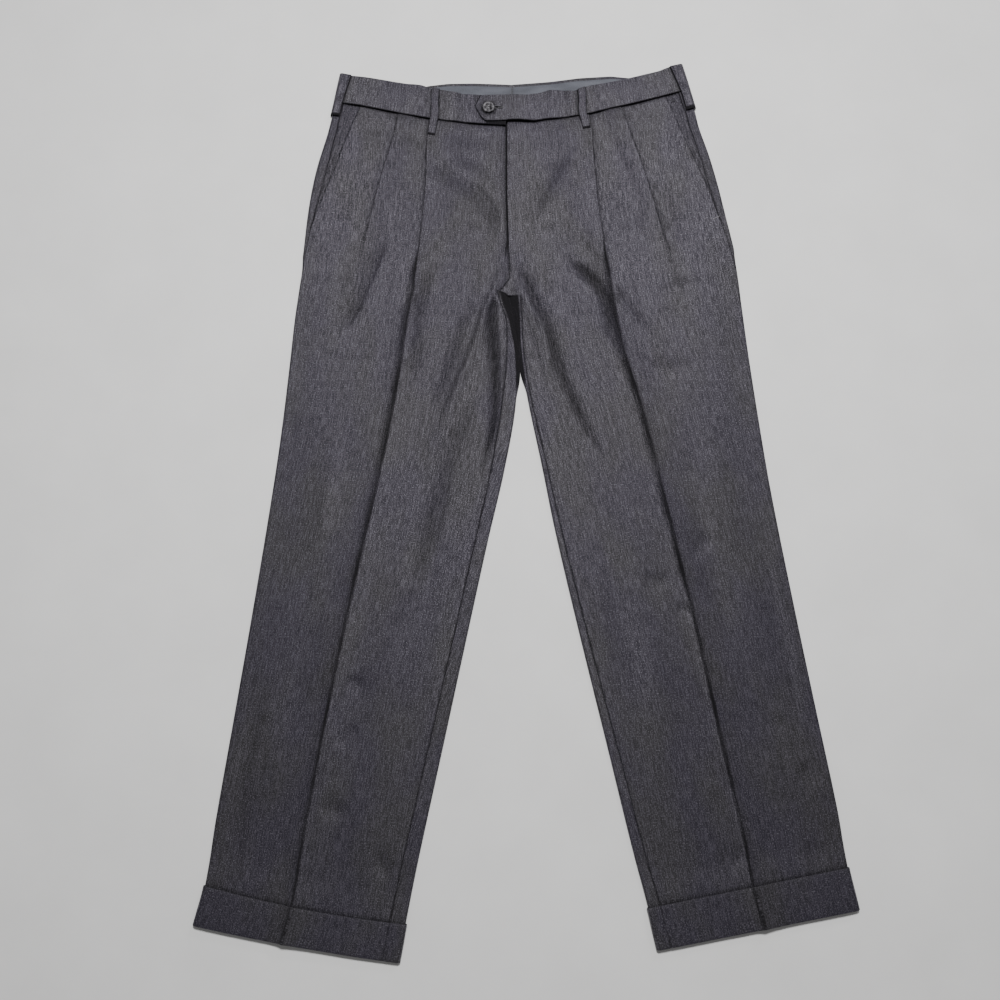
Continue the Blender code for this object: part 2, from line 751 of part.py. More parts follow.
def front_band_columns(band):
    end = band.low.width - (RIGHT_BAND_SHORT if band.side == "right" else 0.0)
    last = BAND_COLUMNS[-1]
    return list(BAND_COLUMNS) + [mix(last, end, 0.35), mix(last, end, 0.7), end]


def tab_lift(band, across):
    """The left band steps up where it laps over the right one."""
    if band.side == "right":
        return 0.0
    return TAB_LIFT * ease((across - band.low.width + TAB_LIFT_START) / TAB_LIFT_LENGTH)


# The pointed tab: how far each column reaches past the centre front, and its lower and upper edge.
TabColumn = namedtuple("TabColumn", "out low high")
TAB = [
    TabColumn(12, 437.6, 472.4),
    TabColumn(29, 437.4, 472),
    TabColumn(34.5, 442.5, 471),
    TabColumn(38.5, 450.5, 461.5),
    TabColumn(40.5, 454.8, 457.2),
]


def tab_points(band, up):
    height = BAND_TOP + TAB_LIFT
    start = band.low.station.inner_x
    return [Vector((start - column.out, mix(column.low, column.high, up), height)) for column in TAB]


def make_waist_lining(side):
    """The waistband's inner cloth across the back, which shows over the front's lower edge."""
    band = Band(side)
    height = BAND_WALL + GAP + LINING_WALL / 2
    grid = []
    for up in (0.06, 0.5, 0.935):
        grid.append([band.back_point(t, height, up) for t in (0.06, 0.25, 0.5, 0.75, 1)])
    return wall(side + "_waist_lining", grid[::-1], LINING_WALL, band.sign, LINING)


def make_front_loop(side):
    """A belt loop, flat on the band from its top edge to a little below the waist seam."""
    band = Band(side)
    loop = BELT_LOOPS[side]
    height = BAND_TOP + BAND_WALL / 2 + GAP + LOOP_WALL / 2
    width = (-LOOP_WIDTH / 2, 0, LOOP_WIDTH / 2)
    grid = []
    for up in (1.0, 0.66, 0.33, 0.0):
        middle = mix(loop["bottom"], loop["top"], up)
        bow = LOOP_BOW * math.sin(math.pi * up)
        grid.append([band.point(middle + off, height + bow, up) for off in width])
    for t in (0.5, 1.0):
        half = Half(side, loop["end"] * t, False)
        middle = mix(loop["bottom"], loop["bottom"] + 2, t)
        grid.append([half.place(middle + off, height - 0.2 * t) for off in width])
    return wall(side + "_front_loop", grid, LOOP_WALL, band.sign, CLOTH)


def make_side_loop(side):
    """The loop over the side, from just under the folded edge onto the front."""
    band = Band(side)
    loop = SIDE_LOOPS[side]
    out = BAND_WALL / 2 + GAP + LOOP_WALL / 2
    grid = []
    for up in (1.0, 0.66, 0.33, 0.0):
        reach = mix(loop["bottom"], loop["top"], up)
        row = []
        for angle in (-12, 25, 60, 90):
            across, height = band.fold(math.radians(angle), out)
            row.append(band.point(across, height, up))
        shoulder = BAND_WALL / 2 + BAND_FOLD_RADIUS
        for t in (0.5, 1.0):
            across = mix(shoulder, reach, t)
            row.append(band.point(across, band.height(across) + out, up))
        grid.append(row)
    low = grid[-1]
    step = Half(side, loop["end"], False).plan(5) - band.front(5, 0)
    for t in (0.5, 1.0):
        grid.append([Vector((p.x + step.x * t, p.y + step.y * t, p.z)) for p in low])
    return wall(side + "_side_loop", grid, LOOP_WALL, band.sign, CLOTH)


def make_cuff(side):
    """The turned-up cuff, a flat tube round the end of the leg."""
    rings = []
    for down in (CUFF_START, CUFF_END):
        half = Half(side, down, True)
        half.lift = LAYER
        front = front_row(half, inner_end(half))
        back = back_row(half)
        rings.append(front + back[::-1][1:-1])
    grid = []
    for i, ring in enumerate(rings):
        below = rings[min(i + 1, len(rings) - 1)]
        above = rings[max(i - 1, 0)]
        row = []
        for j, here in enumerate(ring):
            across = ring[(j + 1) % len(ring)] - ring[j - 1]
            normal = (below[j] - above[j]).cross(across).normalized() * SIDES[side]
            row.append(here + normal * LAYER)
        grid.append(row)
    return tube(side + "_cuff", grid, WALL, SIDES[side], CLOTH)


def tube(name, grid, thickness, facing, cloth):
    """A closed wall on a grid whose columns run all the way round."""
    mesh = bmesh.new()
    columns = len(grid[0])
    outer, inner = [], []
    for i, row in enumerate(grid):
        below = grid[min(i + 1, len(grid) - 1)]
        above = grid[max(i - 1, 0)]
        outer.append([])
        inner.append([])
        for j in range(columns):
            across = row[(j + 1) % columns] - row[j - 1]
            normal = (below[j] - above[j]).cross(across).normalized() * facing
            outer[i].append(mesh.verts.new((row[j] + normal * thickness / 2) * MM))
            inner[i].append(mesh.verts.new((row[j] - normal * thickness / 2) * MM))
    last = len(grid) - 1
    for j in range(columns):
        k = (j + 1) % columns
        for i in range(last):
            mesh.faces.new([outer[i][j], outer[i + 1][j], outer[i + 1][k], outer[i][k]])
            mesh.faces.new([inner[i][k], inner[i + 1][k], inner[i + 1][j], inner[i][j]])
        mesh.faces.new([outer[0][j], outer[0][k], inner[0][k], inner[0][j]])
        mesh.faces.new([outer[last][k], outer[last][j], inner[last][j], inner[last][k]])
    return finish(name, mesh, cloth)


def make_button():
    """A four-hole button with a raised rim, lying on the tab."""
    mesh = bmesh.new()
    rings = []
    for turn in BUTTON_PROFILE:
        ring = []
        for k in range(BUTTON_STEPS if turn.radius else 1):
            angle = 2 * math.pi * k / BUTTON_STEPS
            place = Vector((turn.radius * math.cos(angle), turn.radius * math.sin(angle), turn.height))
            ring.append(mesh.verts.new(place * MM))
        rings.append(ring)
    for low, high in zip(rings, rings[1:]):
        for k in range(BUTTON_STEPS):
            after = (k + 1) % BUTTON_STEPS
            if len(low) == 1:
                mesh.faces.new([low[0], high[k], high[after]])
            elif len(high) == 1:
                mesh.faces.new([low[k], low[after], high[0]])
            else:
                mesh.faces.new([low[k], low[after], high[after], high[k]])
    button = finish("waist_button", mesh, HORN)
    base = BAND_TOP + TAB_LIFT + BAND_WALL / 2 + GAP
    button.location += (BUTTON_PLACE + Vector((0, 0, base))) * MM
    for x in (-1, 1):
        for y in (-1, 1):
            off = Vector((x * BUTTON_HOLE_SPACING / 2, y * BUTTON_HOLE_SPACING / 2, 0))
            cut = button.modifiers.new("hole", "BOOLEAN")
            cut.operation = "DIFFERENCE"
            cut.object = make_hole(button.location + off * MM)
    return button


def make_hole(place):
    """A cutter for one of the button's holes."""
    mesh = bmesh.new()
    bmesh.ops.create_cone(mesh, cap_ends=True, segments=8, radius1=BUTTON_HOLE_RADIUS * MM,
                          radius2=BUTTON_HOLE_RADIUS * MM, depth=BUTTON_HOLE_DEPTH * MM)
    data = bpy.data.meshes.new("button_hole")
    mesh.to_mesh(data)
    mesh.free()
    cutter = bpy.data.objects.new("button_hole", data)
    cutter.location = place
    cutter.hide_render = True
    cutter.display_type = "WIRE"
    bpy.context.scene.collection.objects.link(cutter)
    return cutter


def main():
    for obj in list(bpy.data.objects):
        bpy.data.objects.remove(obj, do_unlink=True)
    for side in SIDES:
        make_front(side)
        make_back(side)
        make_pocket_facing(side)
        make_waistband(side)
        make_waist_lining(side)
        make_front_loop(side)
        make_side_loop(side)
        make_cuff(side)
    make_fly_shield()
    make_button()


main()
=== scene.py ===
# Looks for a pair of pleated dress trousers that lie flat on a floor, front side up.
# Right and left are the wearer's. Lengths are in millimetres unless a note says otherwise, laid out about
# a point beside the middle of the outline: x to the wearer's left, y to the waist, z up off the floor.
import math
from collections import namedtuple

import bmesh
import bpy
import numpy as np
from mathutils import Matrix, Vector, noise


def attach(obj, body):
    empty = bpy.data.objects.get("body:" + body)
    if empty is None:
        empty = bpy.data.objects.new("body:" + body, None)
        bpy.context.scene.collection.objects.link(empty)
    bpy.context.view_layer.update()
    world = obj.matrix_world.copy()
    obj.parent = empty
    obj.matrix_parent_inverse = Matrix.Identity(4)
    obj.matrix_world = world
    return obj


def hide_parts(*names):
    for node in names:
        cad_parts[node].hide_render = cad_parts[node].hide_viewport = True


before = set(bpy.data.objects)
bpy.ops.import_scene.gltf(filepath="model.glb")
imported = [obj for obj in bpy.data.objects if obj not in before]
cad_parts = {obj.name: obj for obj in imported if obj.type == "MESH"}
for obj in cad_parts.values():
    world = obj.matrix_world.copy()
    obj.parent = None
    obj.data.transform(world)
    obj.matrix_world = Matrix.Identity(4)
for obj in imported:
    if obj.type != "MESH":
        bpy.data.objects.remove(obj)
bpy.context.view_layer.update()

millimetre = 0.001
outlineMiddle = np.array([0.8, -1.4, 0.0])

# the pattern's own lines, as the cutter lays them out
pattern = {
    "cloth": 0.7,  # thickness of the wool
    "wall": 1.2,  # room the pattern keeps for one layer
    "gap": 0.3,  # between neighbouring pieces
    "layer": 1.5,  # from one layer to the next where they are sewn
    "backWaist": 454.0,  # height of the waist seam in the middle behind
    "backRiseEnd": 150.0,  # down to here the back's lines run up towards it
    "backSag": 0.35,
    "seatEnd": 204.0,  # from here down each line crosses one leg
    "seatEndX": {"right": -27.0, "left": -7.0},
    "slantFrom": 150.0,  # from here down the top's inner side turns from the middle to the leg
    "roundFrom": 165.0,  # and its edge comes down to the inner fold
    "pressEnd": 335.0,  # down to here the two legs press on each other
    "pressFade": 35.0,
    "lastRow": 953.6,
    "rowSpread": 1.12,  # over 1 the rows lie closer together near the seat
    "pocketEnd": 172.0,
    "pocketFade": 16.0,
    "pocketLift": 1.3,  # how far the front rises over the pocket's inside
    "facingUnderlap": 14.0,
    "facingEnd": 166.0,
    "edgeRise": 40.0,  # distance over which the top climbs from the folded edge
    "cuffStart": 914.0,
    "cuffEnd": 955.0,
    "cuffLiftStart": 880.0,
    "cuffLiftEnd": 910.0,
    "footReach": 3.0,
    "footRadius": 0.8,
}

sideSign = {"right": 1.0, "left": -1.0}


def rowsOf(kind, rows):  # a short table, each row's values under the named columns of its kind
    return [kind(*row) for row in rows]


def bySide(kind, right, left):
    return {"right": rowsOf(kind, right), "left": rowsOf(kind, left)}


Line = namedtuple("Line", "down outerX outerY innerX innerY sag")
seatLines = bySide(Line, right=[
    (-3, -229.5, 465, -18, 437, 4),
    (0, -230, 462, -18, 433, 4),
    (20, -234, 442, -18, 407, 2),
    (40, -238, 423, -18, 386, 0),
    (80, -248, 385, -18, 345, 0),
    (120, -255, 346, -17.5, 305, 0),
    (160, -259, 306, -16, 264, 0),
    (190, -261, 276, -16, 234, 0),
    (204, -262, 262, -27, 218, 0),
], left=[
    (-3, 205, 487, -16, 443, 9),
    (0, 206, 483, -16, 439, 9),
    (20, 213, 453, -17, 409, 3),
    (40, 217, 432, -18, 388, 0),
    (80, 228, 394, -18, 347, 0),
    (120, 237, 355, -17.5, 307, 0),
    (160, 244, 316, -16, 267, 0),
    (190, 250, 285, -16, 234, 0),
    (204, 252, 273, -27, 218, 0),
])
legLines = bySide(Line, right=[
    (204, -262, 262, -27, 218, 0),
    (220, -262, 246, -23, 204, 0),
    (240, -264, 226, -16, 183, 0),
    (280, -268, 186, -8, 141, 0),
    (340, -272, 126, -8.5, 80, 0),
    (420, -278, 46, -22, 1, 0),
    (500, -286, -33, -40, -78, 0),
    (620, -300, -152, -65, -195, 0),
    (740, -315, -271, -90, -313, 1),
    (850, -329, -380, -113, -421, 2),
    (914, -336, -445, -125, -483, 4),
    (955, -345, -484, -131.5, -520, 2),
], left=[
    (204, 252, 273, -7, 218, 0),
    (220, 253, 257, -6, 208, 0),
    (240, 255, 237, -5, 187, 0),
    (280, 258, 197, -4, 147, 0),
    (340, 263, 137, 4.5, 88, 0),
    (420, 271, 57, 20, 10, 0),
    (500, 280, -22, 35, -69, 0),
    (620, 297, -141, 61, -186, 0),
    (740, 315, -259, 88, -302, 0),
    (850, 332, -368, 113, -410, 0),
    (914, 338.5, -427, 127.5, -467, 0),
    (955, 346.5, -469, 136.5, -508, 0),
])

Seams = namedtuple("Seams", "down side edge inseam")
seamLines = bySide(Seams, right=[  # side seam and front's edge round the outer fold, inseam in from the inner
    (0, 11, 33, 1),
    (40, 11, 25.5, 1),
    (80, 13, 23.5, 1),
    (120, 12, 17, 1),
    (160, 7.5, 8.5, 1),
    (188, 5, 5, 1),
    (204, 3, 3, 1),
    (240, 0, 0, 2),
    (280, -1, -1, 9),
    (340, -1, -1, 14),
    (500, -1, -1, 12),
    (955, -1, -1, 15),
], left=[
    (0, 14, 31, 1),
    (40, 12, 24.5, 1),
    (80, 12, 20.5, 1),
    (120, 12, 15, 1),
    (160, 9, 10, 1),
    (188, 6.5, 6.5, 1),
    (204, 5, 5, 1),
    (240, 1, 1, 1.5),
    (280, -1, -1, 2.5),
    (340, -1, -1, 2),
    (500, -1, -1, 5),
    (955, -1, -1, 11),
])

Pleat = namedtuple("Pleat", "down place overlap ridge outerFlank innerFlank")
creasePleats = bySide(Pleat, right=[  # the folded edge, its overlap, the pressed ridge and its two flanks
    (-3, 117.5, 18, 2.4, 6, 16),
    (40, 124, 16, 2.4, 6, 16),
    (80, 134, 14, 2.4, 6, 16),
    (120, 138.5, 10, 3.0, 7, 18),
    (160, 139.5, 2, 3.8, 8, 20),
    (204, 137, -9, 4.4, 8, 22),
    (300, 132, -11, 4.6, 8, 24),
    (380, 126, -11, 4.4, 7, 24),
    (500, 115, -11, 4.2, 7, 24),
    (560, 110, -11, 4.4, 8, 26),
    (620, 106, -11, 4.2, 6, 22),
    (740, 100, -11, 4.0, 6, 22),
    (955, 94, -11, 3.2, 6, 20),
], left=[
    (-3, 126.5, 18, 2.4, 6, 16),
    (40, 134, 16, 2.4, 6, 16),
    (80, 143, 14, 2.4, 6, 16),
    (120, 149, 10, 2.6, 8, 14),
    (160, 151.5, 2, 3.4, 14, 12),
    (204, 153.5, -9, 4.2, 20, 10),
    (300, 146, -11, 4.8, 22, 9),
    (380, 132.5, -11, 4.6, 22, 7),
    (500, 120, -11, 4.4, 22, 7),
    (560, 116, -11, 4.2, 22, 6),
    (620, 112, -11, 4.0, 20, 6),
    (740, 108, -11, 4.0, 20, 5),
    (955, 100, -11, 3.2, 18, 5),
])
secondPleats = bySide(Pleat, right=[
    (-3, 80, 12, 1.4, 6, 14),
    (60, 81, 9, 1.8, 6, 14),
    (120, 79, 3, 2.2, 7, 16),
    (160, 75, -8, 1.6, 8, 18),
    (204, 70, -11, 0.5, 10, 20),
    (300, 64, -11, 0.0, 12, 20),
    (955, 46, -11, 0.0, 12, 20),
], left=[
    (-3, 87, 12, 1.4, 6, 14),
    (60, 84.5, 9, 1.8, 6, 14),
    (120, 83.5, 3, 2.2, 9, 12),
    (160, 79, -8, 1.8, 12, 10),
    (204, 76, -11, 0.6, 14, 12),
    (300, 70, -11, 0.0, 12, 20),
    (955, 48, -11, 0.0, 12, 20),
])

Depth = namedtuple("Depth", "down radius plateau pleatLayer")
depths = rowsOf(Depth, [  # folded edges' radius, top layer's height, room between pleated layers
    (-3, 1.9, 4.9, 0.5),
    (12, 1.8, 5.2, 1.2),
    (60, 1.6, 5.6, 1.5),
    (120, 1.5, 6.0, 1.7),
    (204, 1.5, 6.4, 1.6),
    (300, 1.5, 6.0, 1.4),
    (420, 1.5, 5.0, 1.3),
    (560, 1.5, 4.4, 1.2),
    (955, 1.5, 4.0, 1.2),
])

Meeting = namedtuple("Meeting", "y x")
centreFront = rowsOf(Meeting, [
    (218, -27), (234, -16), (264, -16), (345, -18), (500, -18),
])
centreBack = rowsOf(Meeting, [
    (100, -3), (125, -4), (145, -5.6), (165, -7.8), (183, -10.3), (204, -14), (218, -17), (300, -14),
    (440, -12), (500, -12),
])
Rise = namedtuple("Rise", "x rise")
seamRise = bySide(Rise, right=[  # how far the waist seam runs off its smooth line
    (-232, 3), (-200, 4), (-154, 2), (-115, 0), (-60, -1), (-18, 0),
], left=[
    (-18, 0), (-3, -0.5), (15, -2.5), (29, -1), (43, -1.7), (84, -0.9), (108, 1.2), (161, 0.7), (206, 0),
])
bandTopRise = bySide(Rise, right=[  # and the front's top edge
    (-224, 0), (-211, 0), (-186, 1.6), (-155, 1.7), (-123, 3), (-111, 0), (-91, 0), (-72, -2.4),
    (-44, -1.9), (-16, 0),
], left=[
    (-16, 0), (7, -1.7), (22, 0), (34, 2.4), (48, 0.5), (64, -3), (82, 0.7), (123, 0), (169, -1.2),
    (183, 1), (198, 0),
])

# soft folds in the cloth: a line down or across, how wide each flank is, and how high (or deep) it stands
Fold = namedtuple("Fold", "lit shaded height start end line")
folds = rowsOf(Fold, [
    # right front, from the band down
    (5, 12, -1.9, 0.25, 0.3, [(-112, 383), (-92, 374), (-67, 357), (-47, 341), (-31, 312), (-25, 280)]),
    (5, 12, -0.8, 0.3, 0.3, [(-92, 401), (-55, 387), (-27, 361)]),
    (8, 12, -0.8, 0.35, 0.35, [(-102, 427), (-67, 418), (-27, 416)]),
    (6, 8, -1.0, 0.4, 0.3, [(-150, 423), (-134, 417), (-119, 408)]),
    (10, 12, 1.6, 0.3, 0.3, [(-126, 215), (-131, 175), (-137, 135)]),
    (6, 7, -1.8, 0.3, 0.3, [(-104, 262), (-112, 232), (-118, 180), (-124, 130), (-130, 80)]),
    (6, 8, -2.2, 0.3, 0.3, [(-52, 226), (-67, 186), (-80, 146), (-94, 102), (-106, 55)]),
    (7, 5, 2.6, 0.15, 0.4, [(-19, 262), (-32, 225), (-41, 200), (-57, 148), (-75, 101), (-98, 41),
        (-112, -10)]),
    (7, 14, -2.5, 0.3, 0.5, [(-56, 100), (-63, 69), (-81, 25), (-95, -25), (-106, -75), (-124, -124),
        (-152, -192), (-168, -225)]),
    (4.5, 5.5, -3.6, 0.08, 0.3, [(-33, 213), (-35, 181), (-34, 155), (-32, 101), (-34, 55), (-41, 25),
        (-52, -22)]),
    (4, 3, 1.0, 0.3, 0.4, [(-23, 206), (-19, 169), (-18, 126), (-19, 84), (-26, 48)]),
    (5, 14, -2.3, 0.3, 0.35, [(-154, 312), (-166, 276), (-177, 246), (-189, 212), (-205, 178), (-226, 150)]),
    (2.5, 3, -0.5, 0.3, 0.3, [(-246, 148), (-213, 134), (-152, 130)]),
    (8, 12, -0.6, 0.4, 0.4, [(-204, 434), (-180, 432), (-156, 428)]),
    (8, 14, -1.0, 0.3, 0.3, [(-268, 70), (-269, 30)]),
    (8, 16, -1.1, 0.3, 0.3, [(-284, -225), (-292, -285), (-301, -330), (-304, -391), (-307, -435)]),
    (5, 9, -1.3, 0.4, 0.4, [(-196, -232), (-168, -241)]),
    (5, 9, -1.1, 0.4, 0.4, [(-206, -303), (-178, -280)]),
    (6, 9, -1.0, 0.4, 0.4, [(-222, -366), (-184, -370)]),
    (7, 10, -1.0, 0.4, 0.4, [(-162, -408), (-138, -442)]),
    (10, 16, 1.2, 0.4, 0.4, [(-205, 60), (-222, -20), (-238, -110)]),
    (14, 22, 1.0, 0.4, 0.4, [(-120, -60), (-140, -160), (-168, -270)]),
    (14, 18, -1.0, 0.4, 0.4, [(-225, -150), (-240, -230), (-262, -330)]),
    # left front
    (8, 16, -1.8, 0.35, 0.4, [(70, 416), (46, 386), (30, 358), (19, 332), (13, 292)]),
    (14, 16, -0.8, 0.4, 0.4, [(45, 326), (41, 287), (36, 262)]),
    (5, 9, 1.5, 0.3, 0.2, [(80, 310), (88, 282), (94, 254), (98, 228)]),
    (4.5, 8, -3.2, 0.2, 0.3, [(46, 266), (65, 251), (79, 238), (91, 222), (99, 205), (104, 176), (111, 144),
        (121, 103)]),
    (10, 10, 1.2, 0.3, 0.4, [(56, 216), (72, 198), (86, 178), (94, 150)]),
    (4, 6, -1.7, 0.3, 0.4, [(107, 226), (124, 205), (142, 180), (156, 152)]),
    (8, 10, -1.3, 0.45, 0.45, [(132, 140), (152, 126), (176, 124), (212, 136)]),
    (5, 8, -0.7, 0.4, 0.4, [(156, 219), (185, 224), (214, 232)]),
    (5, 8, -0.6, 0.4, 0.4, [(164, 254), (192, 255)]),
    (8, 13, -1.3, 0.4, 0.45, [(162, 384), (173, 340), (183, 292), (190, 262)]),
    (7, 10, -0.8, 0.4, 0.45, [(194, 364), (204, 320), (203, 276)]),
    (8, 18, -1.2, 0.4, 0.4, [(106, 335), (128, 318), (150, 298)]),
    (7, 4.5, -2.9, 0.12, 0.35, [(-8, 250), (5, 230), (15, 204), (28, 176), (40, 131), (52, 98), (68, 61),
        (89, 22), (103, -10)]),
    (5, 6, 1.5, 0.2, 0.4, [(-12, 239), (-2, 219), (7, 199), (18, 166), (27, 129), (37, 90), (51, 48)]),
    (4, 4, -1.4, 0.35, 0.35, [(8, 206), (17, 179), (23, 150), (25, 118)]),
    (3, 3, -1.1, 0.3, 0.3, [(-8, 252), (1, 249), (12, 244), (20, 238)]),
    (5, 9, -0.8, 0.4, 0.4, [(18, 229), (36, 225), (56, 219)]),
    (5, 8, -1.3, 0.4, 0.4, [(130, -118), (165, -127)]),
    (4, 7, -1.2, 0.4, 0.4, [(166, -152), (184, -157)]),
    (6, 10, -0.9, 0.4, 0.4, [(213, -69), (184, -102)]),
    (8, 18, -1.2, 0.3, 0.3, [(264, -66), (275, -146), (286, -204), (291, -245), (298, -310)]),
    (7, 12, -0.9, 0.3, 0.3, [(296, -320), (316, -341)]),
    (8, 12, -0.8, 0.4, 0.4, [(304, -398), (306, -434)]),
    (8, 16, -0.9, 0.4, 0.4, [(200, -409), (232, -427)]),
    (12, 22, 1.1, 0.4, 0.4, [(205, 80), (222, -10), (240, -120)]),
    (12, 20, -0.9, 0.4, 0.4, [(92, -110), (112, -200), (134, -310)]),
    (14, 20, 0.9, 0.4, 0.4, [(118, -90), (142, -220), (170, -340)]),
    (12, 18, -0.9, 0.4, 0.4, [(188, -10), (208, -110), (232, -230)]),
])
relief = {
    "shareOfHeight": 1.7,
    # hollow and darkest: how much painted shade the folds' hollows and shaded flanks get
    "hollow": 0.078,
    "darkest": 0.75,
    "wander": 0.22,
    "slow": 0.55,
    "slowSize": 85.0,
    "quick": 0.2,
    "quickSize": 24.0,
    "lowest": 2.1,  # the front's cloth never sinks below this
}


def ease(value):  # 0 to 1 with soft ends
    value = np.clip(value, 0.0, 1.0)
    return value * value * (3 - 2 * value)


def mix(a, b, t):
    return a + (b - a) * t


def fading(amount, distance, reach):  # whole up to a line, then dying away
    return amount * np.exp(-np.maximum(distance, 0) / reach)


def stack(x, y, z):  # a place, or a piece's grain and shade: across and down the cloth, and the painted shade it carries in seams, folds and under edges
    return np.stack(np.broadcast_arrays(x, y, z), axis=-1)


def lengthAlong(points):  # how far each point lies along its row
    steps = np.diff(points, axis=-2, prepend=points[..., :1, :])
    return np.cumsum(np.linalg.norm(steps, axis=-1), axis=-1)


def readTable(rows, down):  # a smooth curve through a table's rows, read at many distances down
    table = np.array(rows, float)
    keys = table[:, 0]
    last = len(keys) - 1
    before = np.maximum(np.arange(last + 1) - 1, 0)
    after = np.minimum(np.arange(last + 1) + 1, last)
    slopes = (table[after] - table[before]) / (keys[after] - keys[before])[:, None]
    down = np.clip(np.asarray(down, float), keys[0], keys[-1])
    at = np.clip(np.searchsorted(keys, down, side="right") - 1, 0, last - 1)
    span = (keys[at + 1] - keys[at])[:, None]
    t = (down[:, None] - keys[at][:, None]) / span
    h1 = 2 * t**3 - 3 * t**2 + 1
    values = h1 * table[at] + (1 - h1) * table[at + 1]
    values += span * ((t**3 - 2 * t**2 + t) * slopes[at] + (t**3 - t**2) * slopes[at + 1])
    return type(rows[0])(*(values[:, [column]] for column in range(table.shape[1])))


def alongLine(rows, at):  # straight stretches between rows of (key, value)
    table = np.array(rows, float)
    return np.interp(at, table[:, 0], table[:, 1])


def smoothLine(points, steps):  # a smooth line through a few points
    points = np.array(points, float)
    if len(points) == 2:
        return points[0] + (points[1] - points[0]) * np.linspace(0, 1, steps)[:, None]
    padded = np.vstack([2 * points[0] - points[1], points, 2 * points[-1] - points[-2]])
    out = []
    for u in np.linspace(0, len(points) - 1.0001, steps):
        i = int(u)
        t = u - i
        a, b, c, d = padded[i:i + 4]
        bend = (2 * a - 5 * b + 4 * c - d) * t * t + (3 * b - a - 3 * c + d) * t**3
        out.append(0.5 * (2 * b + (c - a) * t + bend))
    return np.array(out)


def noiseAt(x, y, size, seed):  # slow, even noise between -1 and 1
    flat = [noise.noise(Vector((a / size, b / size, seed))) for a, b in zip(x.ravel(), y.ravel())]
    return np.array(flat).reshape(x.shape)


def foldRelief(x, y):  # all the soft folds together: height, and how little light their hollows get
    total, hollow = np.zeros_like(x), np.zeros_like(x)
    for number, fold in enumerate(folds):
        steps = 10 + 5 * len(fold.line)
        line = smoothLine(fold.line, steps)
        reach = 3 * max(fold.lit, fold.shaded)
        low, high = line.min(0) - reach, line.max(0) + reach
        near = (x > low[0]) & (x < high[0]) & (y > low[1]) & (y < high[1])
        if not near.any():
            continue
        px, py = x[near], y[near]
        best = np.full(px.shape, 1e9)
        side = np.zeros(px.shape)
        place = np.zeros(px.shape)
        for k in range(steps - 1):
            a, b = line[k], line[k + 1]
            step = b - a
            size = float(step @ step)
            t = np.clip(((px - a[0]) * step[0] + (py - a[1]) * step[1]) / size, 0, 1)
            dx, dy = px - a[0] - t * step[0], py - a[1] - t * step[1]
            off = dx * dx + dy * dy
            closer = off < best
            best = np.where(closer, off, best)
            side = np.where(closer, dy * step[0] - dx * step[1], side)
            place = np.where(closer, (k + t) / (steps - 1), place)
        ends = ease(place / fold.start) * ease((1 - place) / fold.end)
        wander = 1 + relief["wander"] * np.sin(place * 13 + number * 2.1) * np.sin(place * 5.3 + number)
        width = np.where(side > 0, fold.lit, fold.shaded) * (0.55 + 0.45 * ends)
        off = np.sqrt(best) / width
        bump = fold.height * ends * wander
        total[near] += bump * np.exp(-off ** 1.7)
        dark = abs(bump * fold.height) * relief["hollow"] * min(1.0, 12 / (fold.lit + fold.shaded))
        if fold.height < 0:
            hollow[near] += dark * np.exp(-(off * 1.15) ** 2)
        else:
            hollow[near] += dark * np.exp(-((off - 1) * 1.6) ** 2) * 0.6 * (side < 0)
    return total * relief["shareOfHeight"], relief["darkest"] * np.tanh(hollow / relief["darkest"])


